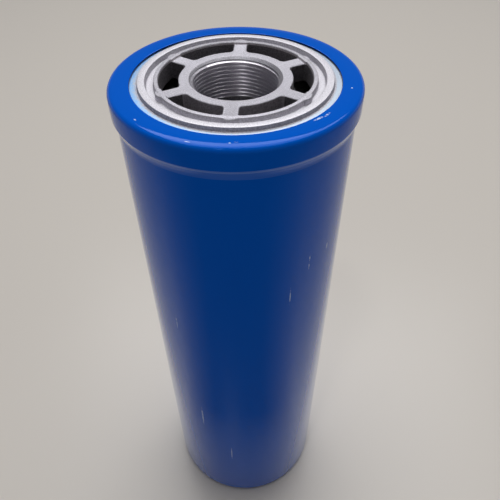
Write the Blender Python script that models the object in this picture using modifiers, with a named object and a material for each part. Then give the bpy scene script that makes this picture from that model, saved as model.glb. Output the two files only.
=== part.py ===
"""Spin-on hydraulic filter: a drawn steel can rolled over a die-cast head plate,
with its pleated element, its springs and its bypass valve inside.

The filter stands on its closed end. The origin is the centre of the base ring,
+Z runs up through the threaded hub, and +X runs through the middle of one inlet slot.
Lengths are in metres.
"""
import math

import bmesh
import bpy
from mathutils import Matrix

# Can, drawn from one sheet
CAN_HEIGHT = 0.365
CAN_RADIUS = 0.0605
CAN_WALL = 0.0008
COLLAR_OVERHANG = 0.002
COLLAR_HEIGHT = 0.010
COLLAR_EDGE_RADIUS = 0.0024
SHOULDER_HEIGHT = 0.005
LIP_WIDTH = 0.0109
BASE_CORNER_RADIUS = 0.004
BASE_RING_WIDTH = 0.005
BASE_RECESS_DEPTH = 0.0025
BASE_CROWN = 0.0012

# Head plate, one die casting. The bore is the minor diameter of a 1 3/4-12 UN thread
THREAD_MINOR_RADIUS = 0.02108
HUB_CHAMFER = 0.002
HUB_WALL = 0.0044
HUB_LENGTH = 0.026
HUB_TOP_WIDTH = 0.007
HUB_DROP = 0.00015
RELIEF_DEPTH = 0.0017
RELIEF_LENGTH = 0.0045
LAND_HEIGHT = 0.001
LAND_WIDTH = 0.0037
LAND_SETBACK = 0.0038
GROOVE_WIDTH = 0.0041
GROOVE_DEPTH = 0.003
RIM_WIDTH = 0.0022
RIM_HEIGHT = 0.0009
EDGE_BREAK = 0.0004
CAST_DRAFT = 0.0002
SPOKE_COUNT = 6
SPOKE_WIDTH = 0.0071
SLOT_INNER_CORNER = 0.0025
SLOT_OUTER_CORNER = 0.0011
SPOKE_BOSS_REACH = 0.0014
SPOKE_BOSS_WIDTH = 0.007
PLATE_DEPTH = 0.009
SKIRT_WIDTH = 0.0036
HEAD_SEAL_SECTION = 0.0027

# Element: neck seal, caps, tube and pleats
GROMMET_WALL = 0.0032
GROMMET_FLANGE = 0.0026
GROMMET_LENGTH = 0.0075
NECK_HEIGHT = 0.0093
CAP_WALL = 0.0008
CAP_CORNER_RADIUS = 0.002
CAP_RIM_HEIGHT = 0.008
FLOW_ANNULUS = 0.0052
POTTING_DEPTH = 0.0035
TUBE_STEP = 0.0014
TUBE_WALL = 0.0008
TUBE_HOLE_RADIUS = 0.0022
TUBE_HOLE_ROWS = 5
TUBE_HOLES_A_ROW = 8
PLEAT_COUNT = 40
MEDIA_THICKNESS = 0.0009
OUTER_FOLD_WIDTH = 0.0022
INNER_FOLD_WIDTH = 0.0016
CLIP_WALL = 0.0004
CLIP_DEPTH = 0.008
BAND_COUNT = 3
BAND_WIDTH = 0.006
BAND_WALL = 0.0008

# Springs and bypass valve
ELEMENT_SPRING_HEIGHT = 0.0265
ELEMENT_SPRING_WIRE = 0.0032
ELEMENT_SPRING_TURNS = 3.5
SPRING_SEAT_THICKNESS = 0.001
SPRING_SEAT_LIP = 0.0036
SPRING_SEAT_MARGIN = 0.0042
BYPASS_BORE_RADIUS = 0.009
BYPASS_LIP_WIDTH = 0.0015
BYPASS_LIP_HEIGHT = 0.001
BYPASS_SPIGOT_WALL = 0.005
BYPASS_SPIGOT_REACH = 0.001
BYPASS_FLANGE_THICKNESS = 0.002
CAGE_WALL = 0.0008
CAGE_FOOT_WIDTH = 0.0047
CAGE_CORNER = 0.0015
CAGE_WINDOW_COUNT = 4
CAGE_WINDOW_WIDTH = 0.012
CAGE_WINDOW_MARGIN = 0.0035
POPPET_OVERLAP = 0.0025
POPPET_CLEARANCE = 0.0015
POPPET_THICKNESS = 0.002
POPPET_SEAL_THICKNESS = 0.0015
POPPET_BOSS_RADIUS = 0.0065
STEM_RADIUS = 0.003
STEM_CLEARANCE = 0.0004
STEM_REACH = 0.005
BYPASS_SPRING_LENGTH = 0.016
BYPASS_SPRING_WIRE = 0.0014
BYPASS_SPRING_RADIUS = 0.009
BYPASS_SPRING_TURNS = 5

# Gap between pieces that touch, and how finely round pieces are divided
GAP = 0.0003
WELD = 0.00001
SHARP_ANGLE = math.radians(35)
STEPS_WIDE = 40
STEPS_MEDIUM = 32
STEPS_SMALL = 20
TUBE_STEPS_A_HOLE = 4
WIDE_TURN_POINTS = 16
SMALL_TURN_POINTS = 10

# Can, worked out
COLLAR_RADIUS = CAN_RADIUS + COLLAR_OVERHANG
SHOULDER_TOP = CAN_HEIGHT - COLLAR_HEIGHT
SHOULDER_BOTTOM = SHOULDER_TOP - SHOULDER_HEIGHT
SHOULDER_RADIUS = (SHOULDER_HEIGHT ** 2 + COLLAR_OVERHANG ** 2) / (4 * COLLAR_OVERHANG)
SHOULDER_ANGLE = math.degrees(math.asin(SHOULDER_HEIGHT / (2 * SHOULDER_RADIUS)))
LIP_INNER_RADIUS = COLLAR_RADIUS - LIP_WIDTH
BASE_RING_OUTER = CAN_RADIUS - BASE_CORNER_RADIUS
BASE_RING_INNER = BASE_RING_OUTER - BASE_RING_WIDTH
BASE_PANEL_RADIUS = BASE_RING_INNER - 0.8 * BASE_RECESS_DEPTH

# Head plate, worked out from the lip inwards and from the bore outwards
FLANGE_RADIUS = COLLAR_RADIUS - CAN_WALL - GAP
FLANGE_TOP = CAN_HEIGHT - CAN_WALL - GAP
FLANGE_CORNER = COLLAR_EDGE_RADIUS - CAN_WALL - GAP
FLANGE_FOOT_RADIUS = SHOULDER_RADIUS - CAN_WALL - GAP
LAND_TOP = CAN_HEIGHT + LAND_HEIGHT
LAND_OUTER = LIP_INNER_RADIUS - LAND_SETBACK
LAND_INNER = LAND_OUTER - LAND_WIDTH
GROOVE_INNER = LAND_INNER - GROOVE_WIDTH
GROOVE_FLOOR = LAND_TOP - GROOVE_DEPTH
RIM_TOP = CAN_HEIGHT + RIM_HEIGHT
HUB_TOP = CAN_HEIGHT - HUB_DROP
SLOT_OUTER = GROOVE_INNER - RIM_WIDTH
SLOT_INNER = THREAD_MINOR_RADIUS + HUB_TOP_WIDTH
RIM_STEP_RADIUS = SLOT_OUTER - EDGE_BREAK
PLATE_UNDERSIDE = CAN_HEIGHT - PLATE_DEPTH
HUB_RADIUS = THREAD_MINOR_RADIUS + HUB_WALL
HUB_BOTTOM = CAN_HEIGHT - HUB_LENGTH
SEAL_HEIGHT = (CAN_HEIGHT - COLLAR_EDGE_RADIUS + SHOULDER_TOP) / 2
SEAL_GROOVE_HALF = HEAD_SEAL_SECTION / 2 + GAP
SEAL_GROOVE_RADIUS = FLANGE_RADIUS - HEAD_SEAL_SECTION - GAP

# Element, worked out from the plate down and from the can inwards
NECK_INNER = HUB_RADIUS + GROMMET_WALL + 2 * GAP
NECK_OUTER = NECK_INNER + CAP_WALL
GROMMET_TOP = PLATE_UNDERSIDE - GAP
NECK_TOP = GROMMET_TOP - GROMMET_FLANGE - GAP
TOP_CAP_TOP = NECK_TOP - NECK_HEIGHT
CAP_RADIUS = CAN_RADIUS - CAN_WALL - FLOW_ANNULUS
TUBE_INNER = NECK_INNER + TUBE_STEP
TUBE_OUTER = TUBE_INNER + TUBE_WALL
POTTING_INNER = TUBE_OUTER + GAP
POTTING_OUTER = CAP_RADIUS - CAP_WALL - GAP
FOLD_OUTER = POTTING_OUTER - GAP - MEDIA_THICKNESS / 2
FOLD_INNER = POTTING_INNER + MEDIA_THICKNESS / 2

# Lower stack, worked out from the base up. The spring seat pushes right under the tube
SPRING_TOP = CAN_WALL + GAP + ELEMENT_SPRING_HEIGHT
SPRING_TOP_OUTER = TUBE_OUTER - SPRING_SEAT_MARGIN
SPRING_TOP_RADIUS = SPRING_TOP_OUTER - ELEMENT_SPRING_WIRE / 2
SPRING_TOP_INNER = SPRING_TOP_OUTER - ELEMENT_SPRING_WIRE
SPRING_SEAT_TOP = SPRING_TOP + GAP + SPRING_SEAT_THICKNESS
BOTTOM_CAP_LOW = SPRING_SEAT_TOP + GAP
ELEMENT_FLOOR = BOTTOM_CAP_LOW + CAP_WALL + GAP
ELEMENT_CEILING = TOP_CAP_TOP - CAP_WALL - GAP
PLEAT_LOW = ELEMENT_FLOOR + POTTING_DEPTH + GAP
PLEAT_HIGH = ELEMENT_CEILING - POTTING_DEPTH - GAP

# Bypass valve, worked out from the bottom cap up
SPIGOT_RADIUS = BYPASS_BORE_RADIUS + BYPASS_SPIGOT_WALL
POPPET_RADIUS = BYPASS_BORE_RADIUS + BYPASS_LIP_WIDTH + POPPET_OVERLAP
CAGE_INNER = POPPET_RADIUS + POPPET_CLEARANCE
CAGE_OUTER = CAGE_INNER + CAGE_WALL
VALVE_RADIUS = CAGE_OUTER + CAGE_FOOT_WIDTH
VALVE_FLANGE_TOP = ELEMENT_FLOOR + BYPASS_FLANGE_THICKNESS
SEAT_LIP_TOP = VALVE_FLANGE_TOP + BYPASS_LIP_HEIGHT
POPPET_SEAL_LOW = SEAT_LIP_TOP + GAP
POPPET_LOW = POPPET_SEAL_LOW + POPPET_SEAL_THICKNESS + GAP
POPPET_TOP = POPPET_LOW + POPPET_THICKNESS
CAGE_CEILING = POPPET_TOP + BYPASS_SPRING_LENGTH + 2 * GAP
CAGE_TOP = CAGE_CEILING + CAGE_WALL
CAGE_FOOT_TOP = VALVE_FLANGE_TOP + GAP + CAGE_WALL


def clear_scene():
    """Start from an empty scene."""
    for thing in list(bpy.data.objects):
        bpy.data.objects.remove(thing, do_unlink=True)


def new_collection(name):
    collection = bpy.data.collections.new(name)
    bpy.context.scene.collection.children.link(collection)
    return collection


def finish(name, colour, roughness, metallic=0.0):
    """A Principled material with one colour, roughness and metallic value."""
    material = bpy.data.materials.new(name)
    material.use_nodes = True
    shader = material.node_tree.nodes["Principled BSDF"]
    shader.inputs["Base Color"].default_value = (*colour, 1.0)
    shader.inputs["Roughness"].default_value = roughness
    shader.inputs["Metallic"].default_value = metallic
    return material


def arc(centre_r, centre_z, radius, start, end, steps):
    """Points (r, z) along an arc from one angle to another, in degrees, ends included."""
    points = []
    for i in range(steps + 1):
        angle = math.radians(start + (end - start) * i / steps)
        points.append((centre_r + radius * math.cos(angle),
                       centre_z + radius * math.sin(angle)))
    return points


def add_object(name, data, collection):
    thing = bpy.data.objects.new(name, data)
    collection.objects.link(thing)
    return thing


def settled_mesh(draft):
    """The draft's mesh with its modifiers applied. The draft is removed."""
    depsgraph = bpy.context.evaluated_depsgraph_get()
    mesh = bpy.data.meshes.new_from_object(draft.evaluated_get(depsgraph))
    bpy.data.objects.remove(draft, do_unlink=True)
    return mesh


def weld(mesh):
    """Join points that lie on one another, such as the rim of a curve's cap."""
    work = bmesh.new()
    work.from_mesh(mesh)
    bmesh.ops.remove_doubles(work, verts=work.verts, dist=WELD)
    work.to_mesh(mesh)
    work.free()


def add_part(name, mesh, material):
    """Give a finished mesh its shading and its material, and place it as a part."""
    mesh.name = name
    mesh.shade_smooth()
    mesh.set_sharp_from_angle(angle=SHARP_ANGLE)
    mesh.materials.clear()
    mesh.materials.append(material)
    return add_object(name, mesh, parts)


def spun_mesh(name, profile, steps, ring, wall=0.0):
    """Spin a profile of (r, z) points about Z. It runs down its outer side.

    A ring's profile closes on itself. Any other profile is a shell, which gets its
    wall on the inner side, or a solid whose two ends lie on the axis.
    """
    edges = [(i, i + 1) for i in range(len(profile) - 1)]
    if ring:
        edges.append((len(profile) - 1, 0))
    line = bpy.data.meshes.new(name)
    line.from_pydata([(r, 0.0, z) for r, z in profile], edges, [])
    draft = add_object(name + "_draft", line, bpy.context.scene.collection)
    screw = draft.modifiers.new("spin", "SCREW")
    screw.steps = steps
    screw.render_steps = steps
    screw.use_merge_vertices = True
    screw.merge_threshold = WELD
    if wall:
        shell = draft.modifiers.new("wall", "SOLIDIFY")
        shell.thickness = wall
        shell.offset = -1
        shell.use_even_offset = True
    return settled_mesh(draft)


def turned(name, profile, steps, material):
    """A solid ring, such as a bush or a washer, from its closed section."""
    return add_part(name, spun_mesh(name, profile, steps, ring=True), material)


def turned_solid(name, profile, steps, material):
    """A turned solid whose profile starts and ends on the axis."""
    return add_part(name, spun_mesh(name, profile, steps, ring=False), material)


def spun_shell(name, profile, steps, wall, material):
    """A pressed or drawn sheet, from the line of its outer face."""
    return add_part(name, spun_mesh(name, profile, steps, False, wall), material)


def outline_mesh(name, outline, low, high, filled, closed=True):
    """Raise a flat outline of (x, y) points from low to high.

    A filled outline gives a closed solid, and an unfilled one gives an open wall.
    """
    curve = bpy.data.curves.new(name, "CURVE")
    curve.dimensions = "2D"
    curve.fill_mode = "BOTH" if filled else "NONE"
    curve.extrude = (high - low) / 2
    line = curve.splines.new("POLY")
    line.points.add(len(outline) - 1)
    for point, (x, y) in zip(line.points, outline):
        point.co = (x, y, 0.0, 1.0)
    line.use_cyclic_u = closed
    mesh = settled_mesh(add_object(name + "_draft", curve, bpy.context.scene.collection))
    bpy.data.curves.remove(curve)
    weld(mesh)
    mesh.transform(Matrix.Translation((0.0, 0.0, (low + high) / 2)))
    return mesh


def walled_mesh(name, outline, low, high, thickness, closed):
    """A sheet of even thickness that stands on an outline, such as folded paper."""
    mesh = outline_mesh(name, outline, low, high, filled=False, closed=closed)
    draft = add_object(name + "_draft", mesh, bpy.context.scene.collection)
    sheet = draft.modifiers.new("thickness", "SOLIDIFY")
    sheet.thickness = thickness
    sheet.offset = 0
    sheet.use_even_offset = True
    return settled_mesh(draft)


def copies_about_z(mesh, count):
    """Repeat a mesh evenly about the Z axis, as separate closed solids in one mesh."""
    work = bmesh.new()
    for i in range(count):
        turned_copy = mesh.copy()
        turned_copy.transform(Matrix.Rotation(math.tau * i / count, 4, "Z"))
        work.from_mesh(turned_copy)
        bpy.data.meshes.remove(turned_copy)
    joined = bpy.data.meshes.new(mesh.name + "_set")
    work.to_mesh(joined)
    work.free()
    return joined


def add_cutter(name, mesh):
    cutter = add_object(name, mesh, cutters)
    cutter.hide_render = True
    cutter.display_type = "WIRE"
    return cutter


def shape_by(part, tool, operation):
    """Cut a part by a tool, or join the tool's form to it."""
    step = part.modifiers.new(tool.name, "BOOLEAN")
    step.operation = operation
    step.object = tool


def coil(name, wire, low, high, turns, low_radius, high_radius, turn_points, material):
    """A coil spring between two heights. Its end turns lie nearly flat, as wound."""
    curve = bpy.data.curves.new(name, "CURVE")
    curve.dimensions = "3D"
    curve.bevel_depth = wire / 2
    curve.bevel_resolution = 2
    curve.use_fill_caps = True
    count = round(turns * turn_points)
    line = curve.splines.new("POLY")
    line.points.add(count)
    start = low + wire / 2
    rise = high - low - wire
    flat_turns = 0.6
    flat_rise = 0.08
    for i, point in enumerate(line.points):
        turn = turns * i / count
        if turn < flat_turns:
            share = flat_rise * turn / flat_turns
        elif turn > turns - flat_turns:
            share = 1 - flat_rise * (turns - turn) / flat_turns
        else:
            middle = (turn - flat_turns) / (turns - 2 * flat_turns)
            share = flat_rise + (1 - 2 * flat_rise) * middle
        radius = low_radius + (high_radius - low_radius) * share
        angle = math.tau * turn
        point.co = (radius * math.cos(angle), radius * math.sin(angle),
                    start + rise * share, 1.0)
    spring = add_object(name, curve, parts)
    curve.materials.append(material)
    return spring


def can():
    """The drawn shell: rolled lip, collar, shoulder, wall and recessed base."""
    profile = [(LIP_INNER_RADIUS, CAN_HEIGHT)]
    profile += arc(COLLAR_RADIUS - COLLAR_EDGE_RADIUS, CAN_HEIGHT - COLLAR_EDGE_RADIUS,
                   COLLAR_EDGE_RADIUS, 90, 0, 3)
    profile += arc(COLLAR_RADIUS - SHOULDER_RADIUS, SHOULDER_TOP,
                   SHOULDER_RADIUS, 0, -SHOULDER_ANGLE, 2)
    profile += arc(CAN_RADIUS + SHOULDER_RADIUS, SHOULDER_BOTTOM,
                   SHOULDER_RADIUS, 180 - SHOULDER_ANGLE, 180, 2)[1:]
    profile += arc(BASE_RING_OUTER, BASE_CORNER_RADIUS, BASE_CORNER_RADIUS, 0, -90, 2)
    profile += [(BASE_RING_INNER, 0.0),
                (BASE_PANEL_RADIUS, BASE_RECESS_DEPTH),
                (0.0, BASE_RECESS_DEPTH + BASE_CROWN)]
    return spun_shell("can", profile, STEPS_WIDE, CAN_WALL, blue_enamel)


def head_plate_profile():
    """The plate's section, from the bore's mouth outwards, round and back up the bore."""
    profile = [
        (THREAD_MINOR_RADIUS, HUB_TOP - HUB_CHAMFER),
        (THREAD_MINOR_RADIUS + HUB_CHAMFER, HUB_TOP),
        (RIM_STEP_RADIUS - CAST_DRAFT, HUB_TOP),
        (RIM_STEP_RADIUS, RIM_TOP),
        (GROOVE_INNER - EDGE_BREAK, RIM_TOP),
        (GROOVE_INNER, RIM_TOP - EDGE_BREAK),
        (GROOVE_INNER + CAST_DRAFT, GROOVE_FLOOR),
        (LAND_INNER - CAST_DRAFT, GROOVE_FLOOR),
        (LAND_INNER, LAND_TOP - EDGE_BREAK),
        (LAND_INNER + EDGE_BREAK, LAND_TOP),
        (LAND_OUTER - EDGE_BREAK, LAND_TOP),
        (LAND_OUTER, LAND_TOP - EDGE_BREAK),
        (LAND_OUTER + CAST_DRAFT, FLANGE_TOP),
    ]
    profile += arc(COLLAR_RADIUS - COLLAR_EDGE_RADIUS, CAN_HEIGHT - COLLAR_EDGE_RADIUS,
                   FLANGE_CORNER, 90, 0, 2)
    profile += [
        (FLANGE_RADIUS, SEAL_HEIGHT + SEAL_GROOVE_HALF),
        (SEAL_GROOVE_RADIUS, SEAL_HEIGHT + SEAL_GROOVE_HALF),
        (SEAL_GROOVE_RADIUS, SEAL_HEIGHT - SEAL_GROOVE_HALF),
        (FLANGE_RADIUS, SEAL_HEIGHT - SEAL_GROOVE_HALF),
    ]
    foot = arc(COLLAR_RADIUS - SHOULDER_RADIUS, SHOULDER_TOP,
               FLANGE_FOOT_RADIUS, 0, -SHOULDER_ANGLE, 2)
    foot_radius, foot_z = foot[-1]
    profile += foot
    profile += [
        (foot_radius - SKIRT_WIDTH, foot_z),
        (foot_radius - SKIRT_WIDTH - CAST_DRAFT, PLATE_UNDERSIDE),
        (HUB_RADIUS, PLATE_UNDERSIDE),
        (HUB_RADIUS, HUB_BOTTOM + EDGE_BREAK),
        (HUB_RADIUS - EDGE_BREAK, HUB_BOTTOM),
        (THREAD_MINOR_RADIUS + RELIEF_DEPTH, HUB_BOTTOM),
        (THREAD_MINOR_RADIUS + RELIEF_DEPTH, HUB_BOTTOM + RELIEF_LENGTH - RELIEF_DEPTH),
        (THREAD_MINOR_RADIUS, HUB_BOTTOM + RELIEF_LENGTH),
    ]
    return profile


def spoke_side(corner_radius, arc_radius, side):
    """Centre of the corner arc between a spoke's flank and one of the slot's round ends.

    The spoke lies along its own +X. side is +1 at the inner end, where the corner lies
    outside the hub's circle, and -1 at the outer end, where it lies inside the rim's.
    """
    across = SPOKE_WIDTH / 2 + corner_radius
    reach = arc_radius + side * corner_radius
    return math.sqrt(reach ** 2 - across ** 2), across


def slot_outline():
    """One kidney-shaped slot, centred on +X between two spokes with parallel flanks."""
    half_pitch = math.pi / SPOKE_COUNT
    slot_width = SLOT_OUTER - SLOT_INNER
    inner_corner = min(SLOT_INNER_CORNER, 0.4 * slot_width)
    outer_corner = min(SLOT_OUTER_CORNER, 0.4 * slot_width)
    inner_x, inner_y = spoke_side(inner_corner, SLOT_INNER, 1)
    outer_x, outer_y = spoke_side(outer_corner, SLOT_OUTER, -1)
    outer_angle = math.degrees(math.atan2(outer_y, outer_x))
    inner_angle = math.degrees(math.atan2(inner_y, inner_x))
    # Drawn beside a spoke that lies along +X, then turned back by half the pitch
    flank = arc(outer_x, outer_y, outer_corner, outer_angle, -90, 2)
    flank += arc(inner_x, inner_y, inner_corner, 270, 180 + inner_angle, 3)
    upper = []
    for x, y in flank:
        angle = math.atan2(y, x) - half_pitch
        radius = math.hypot(x, y)
        upper.append((radius * math.cos(angle), radius * math.sin(angle)))
    half_outer = 180 / SPOKE_COUNT - outer_angle
    half_inner = 180 / SPOKE_COUNT - inner_angle
    outer_end = arc(0.0, 0.0, SLOT_OUTER, half_outer, -half_outer, 6)[1:-1]
    inner_end = arc(0.0, 0.0, SLOT_INNER, -half_inner, half_inner, 4)[1:-1]
    lower = [(x, -y) for x, y in reversed(upper)]
    return outer_end + upper + inner_end + lower


def head_plate():
    """The die casting: turned section, six slots between spokes, and the spokes' bosses."""
    plate = turned("head_plate", head_plate_profile(), STEPS_WIDE, cast_aluminium)
    half_pitch = math.pi / SPOKE_COUNT

    half_width = SPOKE_BOSS_WIDTH / 2
    boss_radius = (half_width ** 2 + SPOKE_BOSS_REACH ** 2) / (2 * SPOKE_BOSS_REACH)
    boss_centre = GROOVE_INNER + SPOKE_BOSS_REACH - boss_radius
    boss_angle = math.degrees(math.asin(half_width / boss_radius))
    boss = arc(boss_centre, 0.0, boss_radius, -boss_angle, boss_angle, 4)
    boss += [(RIM_STEP_RADIUS + EDGE_BREAK, half_width),
             (RIM_STEP_RADIUS + EDGE_BREAK, -half_width)]
    boss_mesh = outline_mesh("spoke_boss", boss, GROOVE_FLOOR - EDGE_BREAK,
                             RIM_TOP - EDGE_BREAK / 2, filled=True)
    boss_mesh.transform(Matrix.Rotation(half_pitch, 4, "Z"))
    shape_by(plate, add_cutter("spoke_bosses", copies_about_z(boss_mesh, SPOKE_COUNT)),
             "UNION")

    slot_mesh = outline_mesh("inlet_slot", slot_outline(), HUB_BOTTOM, LAND_TOP + GAP,
                             filled=True)
    shape_by(plate, add_cutter("inlet_slots", copies_about_z(slot_mesh, SPOKE_COUNT)),
             "DIFFERENCE")
    return plate


def head_seal_ring():
    bpy.ops.mesh.primitive_torus_add(
        major_radius=FLANGE_RADIUS - HEAD_SEAL_SECTION / 2,
        minor_radius=HEAD_SEAL_SECTION / 2,
        major_segments=STEPS_WIDE, minor_segments=6)
    draft = bpy.context.object
    draft.data.transform(Matrix.Translation((0.0, 0.0, SEAL_HEIGHT)))
    return add_part("head_seal_ring", settled_mesh(draft), black_rubber)


def hub_grommet():
    """The neck seal: a sleeve on the hub, with a flange that the neck pushes up."""
    flange_radius = NECK_OUTER + GAP
    profile = [
        (HUB_RADIUS + GAP, GROMMET_TOP),
        (flange_radius, GROMMET_TOP),
        (flange_radius, NECK_TOP + GAP),
        (NECK_INNER - GAP, NECK_TOP + GAP),
        (NECK_INNER - GAP, NECK_TOP - GROMMET_LENGTH),
        (HUB_RADIUS + GAP, NECK_TOP - GROMMET_LENGTH),
    ]
    return turned("hub_grommet", profile, STEPS_MEDIUM, black_rubber)


def element_top_cap():
    profile = [(NECK_OUTER, NECK_TOP), (NECK_OUTER, TOP_CAP_TOP)]
    profile += arc(CAP_RADIUS - CAP_CORNER_RADIUS, TOP_CAP_TOP - CAP_CORNER_RADIUS,
                   CAP_CORNER_RADIUS, 90, 0, 2)
    profile += [(CAP_RADIUS, TOP_CAP_TOP - CAP_RIM_HEIGHT)]
    return spun_shell("element_top_cap", profile, STEPS_MEDIUM, CAP_WALL, zinc_steel)


def element_bottom_cap():
    profile = [(CAP_RADIUS, BOTTOM_CAP_LOW + CAP_RIM_HEIGHT)]
    profile += arc(CAP_RADIUS - CAP_CORNER_RADIUS, BOTTOM_CAP_LOW + CAP_CORNER_RADIUS,
                   CAP_CORNER_RADIUS, 0, -90, 2)
    profile += [(SPIGOT_RADIUS + GAP, BOTTOM_CAP_LOW)]
    return spun_shell("element_bottom_cap", profile, STEPS_MEDIUM, CAP_WALL, zinc_steel)


def potting(name, low, high, chamfer_low, chamfer_high):
    """A ring of set adhesive in a cap, bevelled where the cap's corner is round."""
    profile = [
        (POTTING_INNER, high),
        (POTTING_OUTER - chamfer_high, high),
        (POTTING_OUTER, high - chamfer_high),
        (POTTING_OUTER, low + chamfer_low),
        (POTTING_OUTER - chamfer_low, low),
        (POTTING_INNER, low),
    ]
    # A square corner gives two points in one place, of which one is kept
    kept = [point for i, point in enumerate(profile) if point != profile[i - 1]]
    return turned(name, kept, STEPS_MEDIUM, adhesive)


def centre_tube():
    """The perforated tube. Its holes sit on flat facets, in staggered rows."""
    profile = [
        (TUBE_INNER, ELEMENT_CEILING),
        (TUBE_OUTER, ELEMENT_CEILING),
        (TUBE_OUTER, ELEMENT_FLOOR),
        (TUBE_INNER, ELEMENT_FLOOR),
    ]
    steps = TUBE_STEPS_A_HOLE * TUBE_HOLES_A_ROW
    tube = turned("centre_tube", profile, steps, zinc_steel)
    row_pitch = (PLEAT_HIGH - PLEAT_LOW) / TUBE_HOLE_ROWS
    half_facet = math.pi / steps
    lay_down = Matrix.Rotation(math.pi / 2, 4, "Y")
    holes = bmesh.new()
    for row in range(TUBE_HOLE_ROWS):
        height = PLEAT_LOW + row_pitch * (row + 0.5)
        stagger = math.pi / TUBE_HOLES_A_ROW * (row % 2)
        for place in range(TUBE_HOLES_A_ROW):
            angle = math.tau * place / TUBE_HOLES_A_ROW + stagger + half_facet
            spot = (Matrix.Translation((0.0, 0.0, height))
                    @ Matrix.Rotation(angle, 4, "Z")
                    @ Matrix.Translation((TUBE_OUTER, 0.0, 0.0)) @ lay_down)
            bmesh.ops.create_cone(holes, cap_ends=True, segments=6,
                                  radius1=TUBE_HOLE_RADIUS, radius2=TUBE_HOLE_RADIUS,
                                  depth=6 * TUBE_WALL, matrix=spot)
    hole_mesh = bpy.data.meshes.new("tube_holes")
    holes.to_mesh(hole_mesh)
    holes.free()
    shape_by(tube, add_cutter("tube_holes", hole_mesh), "DIFFERENCE")
    return tube


def pleat_outline():
    """The folded sheet's middle line. The first fold is lower, to leave room for the clip."""
    pitch = math.tau / PLEAT_COUNT
    points = []
    for i in range(PLEAT_COUNT):
        outer = FOLD_OUTER - (CLIP_WALL + GAP if i == 0 else 0.0)
        for radius, width, turn in ((outer, OUTER_FOLD_WIDTH, 0.0),
                                    (FOLD_INNER, INNER_FOLD_WIDTH, 0.5)):
            centre = pitch * (i + turn)
            for side in (-1, 1):
                x, y = radius, side * width / 2
                points.append((x * math.cos(centre) - y * math.sin(centre),
                               x * math.sin(centre) + y * math.cos(centre)))
    return points


def pleated_media():
    mesh = walled_mesh("pleated_media", pleat_outline(), PLEAT_LOW, PLEAT_HIGH,
                       MEDIA_THICKNESS, closed=True)
    return add_part("pleated_media", mesh, filter_media)


def media_seam_clip():
    """A strip folded over the lowered fold, on +X, from end to end of the pleats."""
    top = FOLD_OUTER + MEDIA_THICKNESS / 2 - CLIP_WALL / 2
    fold_room = (math.tau / PLEAT_COUNT * FOLD_INNER - INNER_FOLD_WIDTH) / 2
    half = max(fold_room, OUTER_FOLD_WIDTH / 2) + MEDIA_THICKNESS / 2 + GAP + CLIP_WALL / 2
    outline = [(top - CLIP_DEPTH, half), (top, half), (top, -half), (top - CLIP_DEPTH, -half)]
    mesh = walled_mesh("media_seam_clip", outline, PLEAT_LOW, PLEAT_HIGH, CLIP_WALL,
                       closed=False)
    return add_part("media_seam_clip", mesh, zinc_steel)


def pleat_bands():
    """Ribbons that bend over each outer fold, evenly spaced between the caps' rims."""
    inner = FOLD_OUTER + MEDIA_THICKNESS / 2 + GAP
    low_rim = BOTTOM_CAP_LOW + CAP_RIM_HEIGHT
    spacing = (TOP_CAP_TOP - CAP_RIM_HEIGHT - low_rim) / (BAND_COUNT + 1)
    for i in range(BAND_COUNT):
        middle = low_rim + spacing * (i + 1)
        profile = [
            (inner, middle + BAND_WIDTH / 2),
            (inner + BAND_WALL, middle + BAND_WIDTH / 2),
            (inner + BAND_WALL, middle - BAND_WIDTH / 2),
            (inner, middle - BAND_WIDTH / 2),
        ]
        turned(f"pleat_band_{i + 1}", profile, PLEAT_COUNT, band_ribbon)


def element_spring():
    """A conical coil. Its wide end lies in the can's base ring."""
    low_radius = BASE_RING_OUTER - GAP - ELEMENT_SPRING_WIRE / 2
    return coil("element_spring", ELEMENT_SPRING_WIRE, CAN_WALL + GAP, SPRING_TOP,
                ELEMENT_SPRING_TURNS, low_radius, SPRING_TOP_RADIUS,
                WIDE_TURN_POINTS, spring_steel)


def spring_seat():
    """A pressed ring on the spring's narrow end, with a lip that centres the coil."""
    lip_outer = SPRING_TOP_INNER - GAP
    lip_inner = lip_outer - SPRING_SEAT_THICKNESS
    profile = [
        (lip_inner, SPRING_SEAT_TOP),
        (TUBE_OUTER, SPRING_SEAT_TOP),
        (TUBE_OUTER, SPRING_TOP + GAP),
        (lip_outer, SPRING_TOP + GAP),
        (lip_outer, SPRING_TOP - SPRING_SEAT_LIP),
        (lip_inner, SPRING_TOP - SPRING_SEAT_LIP),
    ]
    return turned("spring_seat", profile, STEPS_MEDIUM, zinc_steel)


def bypass_seat():
    """The staked ring: a spigot through the cap, a flange on it and a raised lip."""
    lip_outer = BYPASS_BORE_RADIUS + BYPASS_LIP_WIDTH
    spigot_low = BOTTOM_CAP_LOW - BYPASS_SPIGOT_REACH
    profile = [
        (BYPASS_BORE_RADIUS, SEAT_LIP_TOP),
        (lip_outer, SEAT_LIP_TOP),
        (lip_outer, VALVE_FLANGE_TOP),
        (VALVE_RADIUS, VALVE_FLANGE_TOP),
        (VALVE_RADIUS, ELEMENT_FLOOR),
        (SPIGOT_RADIUS, ELEMENT_FLOOR),
        (SPIGOT_RADIUS, spigot_low),
        (BYPASS_BORE_RADIUS, spigot_low),
    ]
    return turned("bypass_seat", profile, STEPS_SMALL, zinc_steel)


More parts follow.
